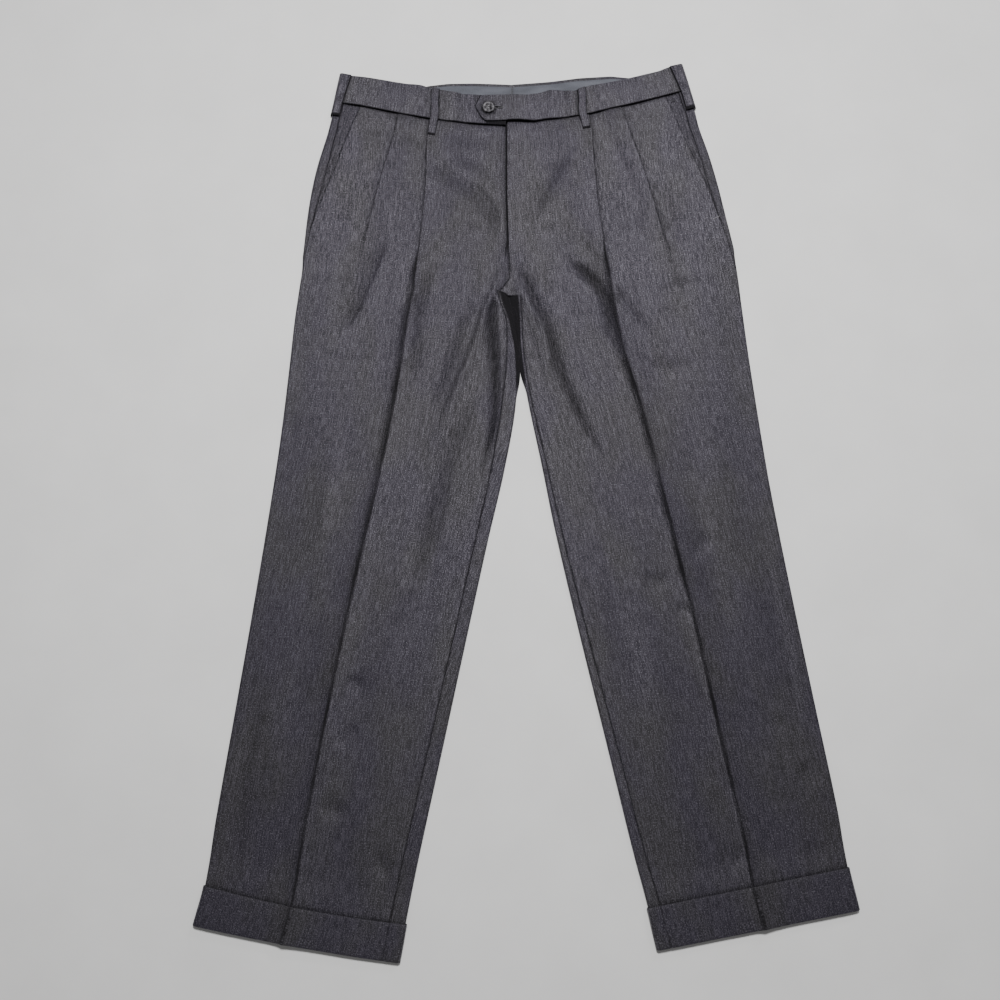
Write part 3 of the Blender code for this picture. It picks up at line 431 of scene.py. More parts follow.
class Rows:  # many lines across one half of the trousers, each from the outer edge inwards
    def __init__(self, side, seatDowns, legDowns=()):
        self.side = side
        self.sign = sideSign[side]
        flat = np.concatenate([seatDowns, legDowns]).astype(float)
        self.down = flat[:, None]
        self.leg = np.arange(len(flat))[:, None] >= len(seatDowns)
        halves = ((seatLines, seatDowns), (legLines, legDowns))
        parts = [readTable(lines[side], downs) for lines, downs in halves if len(downs)]
        self.line = Line(*(np.concatenate(column) for column in zip(*parts)))
        self.runX, self.runY = self.line.innerX - self.line.outerX, self.line.innerY - self.line.outerY
        self.width = np.hypot(self.runX, self.runY)
        self.seams = readTable(seamLines[side], flat)
        self.crease = readTable(creasePleats[side], flat)
        self.second = readTable(secondPleats[side], flat)
        self.depth = readTable(depths, flat)
        self.radius = self.depth.radius
        start, end = pattern["cuffLiftStart"], pattern["cuffLiftEnd"]
        self.lift = pattern["layer"] * ease((self.down - start) / (end - start))
        self.edgeHeight = pattern["wall"] / 2 + 2 * self.radius
        waist = [row for row in seatLines[side] if row.down == 0][0].innerY
        rise = (pattern["backWaist"] - waist) * (1 - ease(self.down / pattern["backRiseEnd"]))
        self.rise = np.where(self.leg, 0.0, rise)
        flap = 1 - ease((self.down - frontCut["flapStart"]) / frontCut["flapLength"])
        self.flap = flap * self.leg * (side == "left")

    def plan(self, across, behind=False):  # where a distance across lies on the floor
        t = across / self.width
        sag = self.line.sag * np.where(self.leg | (not behind), 1.0, pattern["backSag"])
        x = self.line.outerX + self.runX * t
        y = self.line.outerY + self.runY * t - sag * 4 * t * (1 - t)
        if behind:
            return x, y + self.rise * np.maximum(0.0, t)
        return x, y + alongLine(seamRise[self.side], x) * fading(1.0, self.down, 30)

    def acrossAt(self, x):
        return (x - self.line.outerX) / self.runX * self.width

    def toCentreBack(self):
        return self.acrossAt(alongLine(centreBack, self.line.innerY) - self.sign * pattern["gap"] / 2)

    def crest(self):  # top of the leg's inner fold
        return self.width - pattern["wall"] / 2 - self.radius

    def point(self, across, height, behind=False):
        return stack(*self.plan(across, behind), height + self.lift)

    def roundFold(self, distance):  # a place round the outer fold: across and height
        quarter = math.pi / 2 * self.radius
        middle = pattern["wall"] / 2 + self.radius
        angle = np.maximum(distance / self.radius, -math.pi / 2)
        onTop = distance > quarter
        across = np.where(onTop, middle + distance - quarter, middle - self.radius * np.cos(angle))
        return across, np.where(onTop, self.edgeHeight, middle + self.radius * np.sin(angle))

    def seatShare(self, start):  # 0 to 1 from there to the seat's end
        return ease((self.down - pattern[start]) / (pattern["seatEnd"] - pattern[start]))

    def top(self, across):
        return self.topAndHollow(across)[0]

    def topAndHollow(self, across):  # height of the top cloth with its soft folds, and the hollows' shade
        innerX = mix(self.line.innerX, pattern["seatEndX"][self.side], self.seatShare("slantFrom"))
        fromInner = np.where(self.leg, self.width, self.acrossAt(innerX)) - across
        climb = ease((across - self.radius) / pattern["edgeRise"])
        towardsLeg = np.where(self.leg, 1.0, self.seatShare("roundFrom"))
        climb = climb * mix(1.0, ease(fromInner / pattern["edgeRise"] + 0.2), towardsLeg)
        height = mix(self.edgeHeight, self.depth.plateau, climb)
        underPocket = 1 - ease((self.down - pattern["pocketEnd"]) / pattern["pocketFade"])
        facingEnd = self.seams.edge + pattern["facingUnderlap"] + 2
        nearPocket = underPocket * (1 - ease((across - facingEnd) / 18))
        height = mix(height, self.edgeHeight + pattern["pocketLift"], nearPocket)
        x, y = self.plan(across)
        calm = ease((across - 3) / 14) * ease((self.down + 1) / 10)
        slow = noiseAt(x, y, relief["slowSize"], 3.1) * relief["slow"]
        quick = noiseAt(x, y, relief["quickSize"], 8.7) * relief["quick"]
        raised, hollow = foldRelief(x, y)
        over = height + calm * (raised + slow + quick) - relief["lowest"]
        return relief["lowest"] + 0.5 * (over + np.sqrt(over ** 2 + 0.3)), hollow * calm


laidOut = {}  # every sewn piece's own points, to lay stitches on


def meshPiece(name, points, faces, grainAndShade=None, closed=False):  # laid-out points made into an object
    mesh = bpy.data.meshes.new(name)
    mesh.from_pydata(((points - outlineMiddle) * millimetre).tolist(), [], faces)
    # grainAndShade: the cloth's grain, and in its third value the painted shade of seams, folds and turned
    # edges
    if grainAndShade is not None:
        mesh.attributes.new("grainAndShade", "FLOAT_VECTOR", "POINT")
        mesh.attributes["grainAndShade"].data.foreach_set("vector", grainAndShade.astype(np.float32).ravel())
    shape = bmesh.new()
    shape.from_mesh(mesh)
    if closed:
        bmesh.ops.recalc_face_normals(shape, faces=shape.faces)
    else:
        bmesh.ops.remove_doubles(shape, verts=shape.verts, dist=2e-6)
    shape.to_mesh(mesh)
    shape.free()
    mesh.shade_smooth()
    piece = bpy.data.objects.new(name, mesh)
    bpy.context.scene.collection.objects.link(piece)
    return piece


def thinShell(name, node, grid, grainAndShade, material, wall=None, whole=None, bevel=0.0):
    wall = pattern["cloth"] if wall is None else wall
    whole = np.ones(grid.shape[:2], bool) if whole is None else whole
    laidOut[name] = grid[whole] + np.array([0, 0, wall / 2])
    number = -np.ones(whole.shape, int)
    number[whole] = np.arange(whole.sum())
    corners = [number[:-1, :-1], number[1:, :-1], number[1:, 1:], number[:-1, 1:]]
    faces = np.stack([corner.ravel() for corner in corners], axis=1)
    faces = faces[(faces >= 0).all(axis=1)]
    if grid[0, -1, 0] < grid[0, 0, 0]:
        faces = faces[:, ::-1]
    piece = meshPiece(name, grid[whole], faces.tolist(), grainAndShade[whole])
    solid = piece.modifiers.new("thickness", "SOLIDIFY")
    solid.thickness = wall * millimetre
    solid.offset = 0.0
    if bevel:
        edge = piece.modifiers.new("rounded edges", "BEVEL")
        edge.width = bevel * millimetre
        edge.segments = 3
        edge.limit_method = "ANGLE"
        edge.angle_limit = math.radians(55)
    shown = piece.evaluated_get(bpy.context.evaluated_depsgraph_get())
    mesh = bpy.data.meshes.new_from_object(shown)
    piece.modifiers.clear()
    piece.data = mesh
    mesh.name = name
    mesh.shade_smooth()
    mesh.set_sharp_from_angle(angle=math.radians(62))
    return finishPiece(piece, node, material)


def finishPiece(piece, node, material):
    print("sewn:", piece.name, len(piece.data.polygons), "faces")
    piece.data.materials.clear()
    piece.data.materials.append(material)
    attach(piece, "root")
    if node:
        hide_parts(node)
    return piece


# fronts, with their pleats and pressed creases
frontCut = {
    "turn": 0.7,  # a pressed pleat edge's turn
    "shut": 3.0,  # with more overlap than this a pleat lies pressed shut
    "opening": 14.0,
    "runOut": 48.0,  # past the doubled cloth the front comes down over this distance
    "secondRunOut": 15.0,
    "waistGroove": 0.7,  # how far the front dives to go under the band
    "flapReach": 16.0,  # below the crotch the left front still bridges the gap between the legs for a little
    "flapStart": 207.0,
    "flapLength": 9.0,
    "flapLift": 0.9,
    "mouthTurning": 7.0,  # cloth turned under along the pocket mouth
    "flyTurning": 9.0,  # and along the fly
    "flyDip": 1.9,  # how far the right front sinks to go under the fly
    "flyReach": 4.5,
    "flyEnd": 172.0,
    "flyFade": 26.0,
    "mouthEnd": 150.0,
    "mouthFade": 24.0,
    "past": 1.4,  # how far in the top layer has passed the doubled cloth
    "creaseShadowLine": 0.95,  # the painted shadow line right beside the crease
    "creaseShade": 0.58,  # and the softer shade farther off
    "legRows": 186,
}


def pleatColumns(rows, pleat, outerSpan, innerSpan, runOut):  # from the outer side in: across, lift, painted shade
    layer, turn, past = rows.depth.pleatLayer, frontCut["turn"], frontCut["past"]
    opened = ease((frontCut["shut"] - pleat.overlap) / frontCut["opening"])
    inner = pleat.place + np.maximum(pleat.overlap, 1.8)
    columns = []
    # painted shadow on the under layer beside the folded edge, on the hidden layers, and on the edge's lower
    # half
    for off in (6, 4, 2.6, 1.7, 1.0, 0.4, -2):
        columns.append((pleat.place - off, 0 * layer, fading(0.75, off, 1.2) + fading(0.22, off, 4)))
    for angle in np.radians(np.linspace(-80, 80, 6)):
        columns.append((inner - turn + turn * math.cos(angle), layer / 2 * (1 + math.sin(angle)), 1.0))
    for t in (0.2, 0.4, 0.6, 0.8):
        columns.append((mix(inner - turn, pleat.place + turn, t), layer, 1.0))
    for angle in np.radians(np.linspace(-80, 80, 8)):
        edge = pleat.place + turn - turn * math.cos(angle)
        dark = 0.9 * ease((35 - math.degrees(angle)) / 60)
        columns.append((edge, layer * (1.5 + 0.5 * math.sin(angle)), dark))
    for t in (0.03, 0.09, 0.18, 0.3, 0.44, 0.58, 0.72, 0.86, 1):
        columns.append((mix(pleat.place + turn, inner + past, t), 2 * layer * (1 - 0.12 * t), 0.0))
    for t in np.linspace(0.12, 1, 9):
        columns.append((inner + past + runOut * t, 1.76 * layer * (1 - ease(t)), 0.0))
    shutAcross, shutLift, shutShade = zip(*columns)
    last = len(columns) - 1
    k = np.arange(last + 1)
    middle = 20.5  # the column where an open pleat's ridge stands
    place = innerSpan * np.clip((k - middle) / (last - middle), 0, 1) ** 1.6
    place = place - outerSpan * np.clip(1 - k / middle, 0, 1) ** 1.8
    flank = np.where(place < 0, pleat.outerFlank, pleat.innerFlank)
    span = np.where(place < 0, outerSpan, innerSpan)
    ridge = fading(0.3, np.abs(place), 1.8) + 0.7 * np.exp(-(np.abs(place) / flank) ** 1.2)
    ridge = pleat.ridge * ridge * (1 - (place / span) ** 2)
    shaded = -place * rows.sign  # how far from the ridge on the side away from the light
    wide = 1.6 + 2.0 * ease((rows.down - 150) / 60) * (1 - ease((rows.down - 480) / 160))
    # painted shadow beside the pressed crease, on the side away from the light
    creaseShadow = frontCut["creaseShadowLine"] * np.exp(-((shaded - 0.9) / 1.3) ** 2)
    soft = np.exp(-((shaded - wide) / wide) ** 2) * (shaded > -1)
    creaseShadow = creaseShadow + frontCut["creaseShade"] * soft
    creaseShadow = np.minimum(creaseShadow * np.clip(pleat.ridge / 4, 0, 1), 0.9)
    creaseShadow = creaseShadow * (0.8 + 0.3 * np.sin(rows.down / 17) * np.sin(rows.down / 41))
    return (mix(np.hstack(shutAcross), pleat.place + place, opened), mix(np.hstack(shutLift), ridge, opened),
            mix(np.array(shutShade), creaseShadow, ease(opened * 5)))


def frontEnd(rows):  # how far across the front reaches
    line = alongLine(centreFront, rows.line.innerY)
    seat = rows.acrossAt(line - rows.sign * pattern["gap"] / 2)
    if rows.side == "right":
        seat = seat + frontCut["flyReach"] * ease((168 - rows.down) / 30)
    leg = rows.crest() - rows.seams.inseam - pattern["gap"] / 2
    return np.where(rows.leg, leg + frontCut["flapReach"] * rows.flap, seat)


def turnedUnder(edge, height, width, drop, inwards):  # cloth turned under along an edge
    reaches = ((0.1, 0.5), (0.5, 0.95), (width * 0.5, 1.0), (width, 1.0))
    across = np.hstack([edge + inwards * reach for reach, _ in reaches])
    return across, np.hstack([height - drop * share for _, share in reaches])


def frontColumns(rows, turnings=True):  # across, height and painted shade of each column
    quarter = math.pi / 2 * rows.radius
    edge = rows.seams.edge
    shoulder = np.maximum(edge + 4, quarter + 0.8)
    across, fixed = [], []
    for t in (0, 0.12, 0.35, 0.65, 1):
        distance = mix(edge + pattern["gap"] / 2, shoulder, t)
        place, height = rows.roundFold(distance)
        onTop = (rows.down <= pattern["pocketEnd"]) | (distance >= quarter)
        across.append(place)
        fixed.append(np.where(onTop, np.nan, height))
    between = rows.crease.place - rows.second.place
    second = pleatColumns(rows, rows.second, 30, np.clip(between - 42, 8, 30), frontCut["secondRunOut"])
    crease = pleatColumns(rows, rows.crease, 36, 40, frontCut["runOut"])
    end = frontEnd(rows)
    across += [mix(across[4], second[0][:, :1], t) for t in np.linspace(0, 1, 16)[1:-1]]
    firstStart = len(across)
    across.append(second[0])
    across += [mix(second[0][:, -1:], crease[0][:, :1], t) for t in np.linspace(0, 1, 12)[1:-1]]
    across.append(crease[0])
    across += [mix(crease[0][:, -1:], end, t) for t in 1 - (1 - np.linspace(0, 1, 34)[1:]) ** 1.6]
    across = np.hstack(across)
    height, shade = rows.topAndHollow(across)
    count = second[0].shape[1]
    for start, pleat in ((firstStart, second), (firstStart + count + 10, crease)):
        height[:, start:start + count] += pleat[1]
        shade[:, start:start + count] = np.maximum(shade[:, start:start + count], pleat[2])
    height = height + frontCut["flapLift"] * rows.flap * ease((across - rows.crest() + 6) / 6)
    fixed = np.hstack(fixed)
    height[:, :5] = np.where(np.isnan(fixed), height[:, :5], fixed)
    # painted shade on the folded outer edge
    shade[:, 0], shade[:, 1] = 0.6, 0.15
    fromEnd = end - across
    onFly = np.where(rows.leg, 0.0, ease((frontCut["flyEnd"] - rows.down) / frontCut["flyFade"]))
    # painted shade along the front's inner end, in the gap under the fly, and under the band's edge
    seam = fading(0.8, fromEnd, 0.9)
    left = rows.side == "left"
    if left:
        height = height + 0.5 * onFly * (1 - ease(fromEnd / 26))
        seam = seam * (1 - onFly)
    else:
        height = height - frontCut["flyDip"] * onFly * (1 - ease((fromEnd - 3) / 9))
        seam = mix(seam, fading(0.97, fromEnd - frontCut["flyReach"] - 2.0, 1.0), onFly)
    height = height - (1 - onFly) * (1 - ease(fromEnd / 2.2)) * 0.35
    height = height - fading(frontCut["waistGroove"], rows.down, 1.2)
    shade = np.maximum(np.maximum(shade, seam), fading(0.95, rows.down - 0.2, 0.5))
    if turnings:
        mouth = 1 - ease((rows.down - frontCut["mouthEnd"]) / frontCut["mouthFade"])
        width, drop = mix(0.3, frontCut["mouthTurning"], mouth), mix(0.2, 0.95, mouth)
        mouthAcross, mouthHeight = turnedUnder(across[:, :1] - 0.1 * mouth, height[:, :1], width, drop, 1)
        width, drop = mix(0.2, frontCut["flyTurning"], onFly * left), mix(0.1, 0.95, onFly * left)
        flyAcross, flyHeight = turnedUnder(end, height[:, -1:], width, drop, -onFly)
        across = np.hstack([mouthAcross[:, ::-1], across, flyAcross])
        height = np.hstack([mouthHeight[:, ::-1], height, flyHeight])
        # the cloth turned under along the mouth and fly is painted in shade
        shade = np.pad(shade, ((0, 0), (4, 4)), constant_values=0.95)
    return across, height, shade


def downsOfLeg(count):  # so many rows from the seat's end to the hem
    return mix(pattern["seatEnd"], pattern["lastRow"], np.linspace(0, 1, count) ** pattern["rowSpread"])


def cuffShade(rows):  # the shade just above the turn-up
    return fading(0.9, np.abs(rows.down - pattern["cuffStart"] + 0.6), 1.4)


def makeFront(side, material):
    seatDowns = np.concatenate([[-2.6, -1.2, -0.2, 0.4, 0.9, 1.5, 2.4, 3.8], np.linspace(6, 203.6, 60)])
    rows = Rows(side, seatDowns, downsOfLeg(frontCut["legRows"]))
    across, height, shade = frontColumns(rows)
    grid = rows.point(across, height)
    grainAndShade = stack(across - rows.crease.place, -grid[:, :, 1], np.maximum(shade, cuffShade(rows)))
    return thinShell(side + "Front", side + "_front", grid, grainAndShade, material)


# backs, which wrap round the folded sides and lie on the floor
def backColumns(rows):  # from the side seam round under the leg to the inseam: points and painted shade
    quarter = math.pi / 2 * rows.radius
    seam = rows.seams.side - pattern["gap"] / 2
    low = pattern["wall"] / 2
    columns = []  # across, height, whether it lies behind, painted shade
    for t in np.linspace(0, 1, 13) ** 1.7:
        distance = mix(seam, -quarter, t)
        place, up = rows.roundFold(distance)
        fromSeam = seam - distance
        columns.append((place, up - fading(0.35, fromSeam, 1.2), False, fading(0.9, fromSeam, 0.8)))
    closed = ease((pattern["pressEnd"] - rows.down) / pattern["pressFade"])
    gap = alongLine(centreBack, rows.line.innerY) - rows.line.innerX
    gap = np.maximum(0.0, gap * rows.sign + 0.5) * closed
    slant = ease(gap / pattern["footReach"])
    radius = mix(rows.radius, pattern["footRadius"], slant)
    crest = rows.crest()
    foot = crest + gap + rows.radius - radius
    top = rows.top(crest)
    rise = mix(top - low, 2 * pattern["footRadius"], slant)
    end = np.where(rows.leg, foot, rows.toCentreBack())
    for t in np.linspace(0, 1, 10)[1:]:
        columns.append((mix(low + rows.radius, end, t), low, True, 0 * end))
    # the hollow between the pressed legs is painted in deep shade
    for t in np.linspace(0, 1, 9)[1:]:
        angle = np.radians(mix(mix(-90, 90, t), mix(-90, 80, t), slant))
        height = low + rise * (1 + np.sin(angle)) / 2
        columns.append((foot + radius * np.cos(angle), height, False, 0.97 * slant))
    lastAcross, lastHeight = columns[-1][:2]
    for t, dark in ((0.25, 0.97), (0.5, 0.97), (0.75, 0.97), (0.9, 0.6), (1.0, 0.1)):
        height = mix(lastHeight, top, ease(0.15 + 0.85 * t))
        columns.append((mix(lastAcross, crest, t), height, False, dark * slant))
    inseam = crest - rows.seams.inseam + pattern["gap"] / 2
    for t in 1 - (1 - np.linspace(0, 1, 7)[1:]) ** 1.5:
        place = mix(crest, inseam, t)
        fromSeam = place - inseam
        height = rows.top(place) - fading(0.4, fromSeam, 1.2) * ease(rows.seams.inseam / 4)
        columns.append((place, height, False, fading(0.8, fromSeam, 0.8)))
    grid = np.stack([rows.point(*column[:3])[:, 0] for column in columns], axis=1)
    return grid, np.hstack([column[3] for column in columns])


def makeBack(side, material):
    seatDowns = np.linspace(-2.6, 203.6, 52)
    rows = Rows(side, seatDowns, downsOfLeg(150))
    grid, shade = backColumns(rows)
    whole = np.ones(shade.shape, bool)
    whole[:len(seatDowns), 22:] = False
    grainAndShade = stack(lengthAlong(grid), rows.down, np.maximum(shade, cuffShade(rows)))
    return thinShell(side + "Back", side + "_back", grid, grainAndShade, material, whole=whole)


# pocket mouths and the strip behind the fly
def makePocketFacing(side, material):
    rows = Rows(side, np.linspace(-2.6, pattern["facingEnd"], 40))
    start = rows.roundFold(rows.seams.side + pattern["gap"] / 2)[0]
    mouth = rows.roundFold(rows.seams.edge)[0]
    t = np.concatenate([[0, 0.05, 0.12, 0.25, 0.4, 0.55, 0.7, 0.82, 0.91, 1], np.linspace(1, 2, 8)[1:]])
    across = mix(start, mouth, np.minimum(t, 1)) + pattern["facingUnderlap"] * np.maximum(t - 1, 0)
    x, y = rows.plan(across)
    sink = (0.5 + 0.25 * noiseAt(x, y, 22.0, 5.0)) * ease(t * 2)
    grid = rows.point(across, rows.edgeHeight - sink - fading(0.25, across - start, 1.0))
    # painted shade along the side seam and under the mouth's edge, and never lighter than a little shade
    shade = np.maximum(fading(0.9, across - start, 0.7), fading(0.95, mouth - across, 1.6))
    shade = np.maximum(np.maximum(shade, 0.2), fading(0.95, rows.down - 0.4, 0.8))
    grainAndShade = stack(across, rows.down, shade)
    return thinShell(side + "PocketFacing", side + "_pocket_facing", grid, grainAndShade, material)


def makeFlyShield(material):
    rows = Rows("left", np.linspace(-2, 180, 40))
    across = rows.width - mix(30.0, -8.0, np.linspace(0, 1, 14))
    # the shield, lying under the fly, is painted in shade all over
    grainAndShade = stack(across, rows.down, 0.8)
    return thinShell("flyShield", "fly_shield", rows.point(across, 1.9), grainAndShade, material)


# waistband, its lining and the belt loops
band = {
    "wall": 2.0,
    "radius": 2.2,
    "top": 7.2,  # middle of the front band over the floor
    "climb": 30.0,
    "crown": 0.45,
    "rightShort": 2.0,
    "tabLift": 2.3,
    "tabLiftStart": 42.0,
    "tabLiftLength": 34.0,
    "closing": -16.0,  # x of the line where the two halves meet in front
    "tabShadow": 2.6,  # how far above the tab the band under it stays dark
    "buttonShade": 8.2,  # the button lies in the dark of its own shade up to this radius
    "edgeRadius": 0.55,
}
TopEdge = namedtuple("TopEdge", "outerX outerY innerX innerY sag")
bandTop = {"right": TopEdge(-223.5, 504, -16, 473, 5), "left": TopEdge(197.5, 517, -16, 473, 8)}
TopPlace = namedtuple("TopPlace", "x y")
backTop = bySide(TopPlace, right=[  # the band's top edge behind, over the front's in the middle
    (-224, 503), (-186, 494), (-155, 488), (-128, 485), (-118, 489.5), (-91, 493), (-60, 493.5),
    (-31, 492.5), (-11, 491.5),
], left=[
    (-12, 491.5), (13, 493.5), (36, 495.5), (71, 500.5), (110, 503), (133, 500.5), (146, 498), (169, 502),
    (198, 515),
])
Dent = namedtuple("Dent", "x width height lean")
bandDents = rowsOf(Dent, [  # upright ripples in the band
    (-172, 14, 0.35, 4), (-142, 7, -0.5, 2), (-130, 6, 0.4, -2), (-92, 4, -0.9, 3), (-82, 5, 0.5, 2),
    (-72, 4, -0.7, -2), (-58, 7, 0.35, 0), (12, 8, 0.3, 2), (36, 7, 0.6, -3), (52, 5, -1.0, -4),
    (62, 5, 0.4, -3), (110, 12, -0.35, 3), (150, 12, 0.35, 0),
])
Tab = namedtuple("Tab", "out low high")
tabShape = rowsOf(Tab, [
    (0, 438.3, 472.8), (12, 437.6, 472.4), (27.5, 437.2, 472.0), (29.5, 437.8, 472.0), (33.0, 441.6, 471.3),
    (34.8, 444.5, 470.4), (38.2, 451.5, 462.3), (39.8, 454.2, 458.6), (40.4, 455.6, 456.6),
])


class BandRows:  # places on one half of the waistband; up is 0 at the waist seam and 1 at the top edge
    def __init__(self, side):
        self.side = side
        self.low = Rows(side, [0.0])
        self.width = float(self.low.width[0, 0])
        self.topEdge = bandTop[side]

    def front(self, across, up):
        lowX, lowY = self.low.plan(across)
        t = across / self.width
        edge = self.topEdge
        highX = mix(edge.outerX, edge.innerX, t)
        highY = mix(edge.outerY, edge.innerY, t) - edge.sag * 4 * t * (1 - t)
        highY = highY + alongLine(bandTopRise[self.side], highX)
        return mix(lowX, highX, up), mix(lowY, highY, up)

    def back(self, t, up):
        lowX, lowY = self.low.plan((self.low.toCentreBack() + 0.1) * t, True)
        centre = float(alongLine(centreBack, pattern["backWaist"])) - self.low.sign * 0.05
        highX = mix(self.topEdge.outerX, centre, t)
        return mix(lowX, highX, up), mix(lowY, alongLine(backTop[self.side], highX), up)

    def height(self, across, up, x):
        edge = band["wall"] / 2 + 2 * band["radius"]
        level = mix(edge, band["top"], ease((across - band["radius"]) / band["climb"]))
        level = level + band["crown"] * np.sin(np.pi * up) * ease(across / 12)
        for dent in bandDents:
            off = (x - dent.x - dent.lean * (up - 0.5)) / dent.width
            level = level + dent.height * np.exp(-off * off) * (0.75 + 0.25 * up) * ease(across / 12)
        return level

    def fold(self, angle, out=0.0):
        radius = band["radius"] + out
        middle = band["wall"] / 2 + band["radius"]
        return middle - radius * math.cos(angle), middle + radius * math.sin(angle)


def makeWaistband(side, material):
    lines = BandRows(side)
    left = side == "left"
    up = np.array([0.008, 0.04, 0.1, 0.2, 0.35, 0.435, 0.46, 0.54, 0.565, 0.65, 0.8, 0.9, 0.96, 1.0])
    end = lines.width
    loop, sideLoop = loops[side], loops[side + "Side"]
    fine = [np.arange(-9, 9.1, 0.7) + (loop["top"] + loop["bottom"]) / 2, np.arange(8, 20, 0.7)]
    if not left:
        up = np.sort(np.concatenate([up, np.arange(0.125, 0.95, 0.05)]))
        end = end - band["rightShort"]
        fine.append(end - np.arange(26, 46, 0.8))
    up = up[:, None]
    parts = [stack(*lines.back(np.linspace(1, 0.05, 40)[None], up), band["wall"] / 2)]
    for angle in np.radians(np.linspace(-90, 90, 11)):
        across, height = lines.fold(angle)
        parts.append(stack(*lines.front(across, up), height))
    shades = [np.zeros(part.shape[:2]) for part in parts]
    even = np.linspace(band["wall"] / 2 + band["radius"] + 1.6, end, 90)
    across = np.sort(np.concatenate([even, *fine]))[None]
    # painted shadow beside the belt loops
    off = across - mix(loop["bottom"], loop["top"], up)
    beside = fading(0.92, np.abs(off) - loops["width"] / 2, np.where(off > 0, loops["shadow"][side], 0.8))
    beside = np.maximum(beside, fading(0.95, across - mix(sideLoop["bottom"], sideLoop["top"], up), 1.1))
    x, y = lines.front(across, up)
    height = lines.height(across, up, x)
    tabOut, tabLow, tabHigh = np.array(tabShape).T
    if left:
        lifted = ease((across - end + band["tabLiftStart"]) / band["tabLiftLength"])
        height = height + band["tabLift"] * lifted
    else:  # the shade round the tab, which lies over this half
        low = np.interp(y, tabLow[2:], tabOut[2:])
        high = np.interp(y - band["tabShadow"], tabHigh[:2:-1], tabOut[:2:-1])
        outline = band["closing"] - np.minimum(low, high)
        beside = np.maximum(beside, fading(0.93, outline - x, 1.1) * (y < 474))
    parts.append(stack(x, y, height))
    shades.append(beside)
    if left:
        out = np.array([3, 6, 9, 11.5, 12.5, 14.5, 17, 19, 20, 22, 24, 27.5, 29.5, 31.3, 33, 34.8, 36.5, 38.2,
                        39.8, 40.4])
        x = band["closing"] - out[None]
        y = mix(np.interp(out, tabOut, tabLow), np.interp(out, tabOut, tabHigh), up)
        crown = band["crown"] * np.sin(np.pi * up) * ease((42 - out) / 14)
        parts.append(stack(x, y, band["top"] + band["tabLift"] + crown))
        buttonX, buttonY = stitching["buttonPlace"]
        # painted shadow round the button, and along the tab's edge
        tabShade = fading(0.95, np.hypot(x - buttonX, y - buttonY) - band["buttonShade"], 1.2)
        tabShade[:, -1] = 0.8
        tabShade[6:8, 2:8] = 0.99  # painted shade in the buttonhole's slit
        shades.append(tabShade)
    grid, shade = np.concatenate(parts, axis=1), np.concatenate(shades, axis=1)
    # painted shade along the band's lower edge
    shade[0], shade[1] = 0.8, np.maximum(shade[1], 0.1)
    grainAndShade = stack(lengthAlong(grid[5])[None], -up * 39, shade)
    return thinShell(side + "Waistband", side + "_waistband", grid[::-1], grainAndShade[::-1], material,
                     wall=band["wall"] - 0.2, bevel=band["edgeRadius"])


lining = {"wall": 0.6, "height": 2.75, "from": 0.05, "to": 0.88, "ripple": 0.35, "rippleSize": 17.0}


def makeWaistLining(side, material):
    lines = BandRows(side)
    up = np.linspace(lining["from"], lining["to"], 14)[:, None]
    t = np.concatenate([np.linspace(0.05, 0.975, 60), np.linspace(0.98, 1, 9)])[None]
    x, y = lines.back(t, up)
    ripple = lining["ripple"] * (1 + noiseAt(x, y * 0.35, lining["rippleSize"], 12.0))
    height = lining["height"] + ripple * np.sin(np.pi * up) - 0.35 * np.exp(-(1 - t) * 90)
    # painted shade, darkest at the centre-back seam
    grid, grainAndShade = stack(x, y, height), stack(x, y, fading(0.75, (1 - t) * lines.width, 1.2))
    return thinShell(side + "WaistLining", side + "_waist_lining", grid[::-1], grainAndShade[::-1], material,
                     wall=lining["wall"], bevel=0.2)


loops = {
    "width": 9.6,
    "wall": 1.5,
    "bow": 0.9,
    "room": 0.3,  # between the band and the loop
    "lift": 0.3,
    "edge": 0.5,
    "settle": 1.3,  # how far the lower end comes down to the cloth
    "shadow": {"right": 0.9, "left": 2.2},  # how far from the loop, on the fly's side, the band stays dark
    "right": {"top": 121.5, "bottom": 124.0, "end": 21.0},
    "left": {"top": 132.0, "bottom": 134.5, "end": 16.0},
    "rightSide": {"top": 14.0, "bottom": 10.0, "end": 16.0},
    "leftSide": {"top": 16.0, "bottom": 11.0, "end": 17.0},
}


def sewLoop(name, node, grid, across, length, edges, material):  # edges give the painted shade of the outer columns; the lower end is painted in shade too
    grid = np.array(grid)
    shade = np.zeros(grid.shape[:2])
    for column, dark in edges.items():
        shade[:, column] = dark
    shade[-2:] = 0.95
    grainAndShade = stack(across, np.linspace(0, length, len(grid))[:, None], shade)
    return thinShell(name, node, grid, grainAndShade, material, wall=loops["wall"], bevel=loops["edge"])


def makeFrontLoop(side, material):
    lines = BandRows(side)
    loop = loops[side]
    off = np.array([[-0.5, -0.44, -0.34, -0.18, 0, 0.18, 0.34, 0.44, 0.5]]) * loops["width"]
    crown = 0.25 * (1 - (2 * off / loops["width"]) ** 2)
    base = band["top"] + band["wall"] / 2 + loops["room"] + loops["wall"] / 2
    grid = []
    for up in np.linspace(1, 0, 22):
        middle = mix(loop["bottom"], loop["top"], up) + 0.5 * math.sin(up * 7)
        bow = loops["bow"] * math.sin(math.pi * up) + loops["lift"]
        grid.append(stack(*lines.front(middle + off, up), base + bow + crown)[0])
    for t in (0.14, 0.28, 0.42, 0.56, 0.7, 0.84, 0.89, 1.0):
        x, y = Rows(side, [loop["end"] * t]).plan(loop["bottom"] + t + off)
        drop = loops["settle"] * ease(t * 1.2)
        grid.append(stack(x, y, base + loops["lift"] - drop + crown)[0])
    return sewLoop(side + "FrontLoop", side + "_front_loop", grid, off + 3, 60,
                   {1: 0.55, -2: 0.55, 0: 0.95, -1: 0.95}, material)


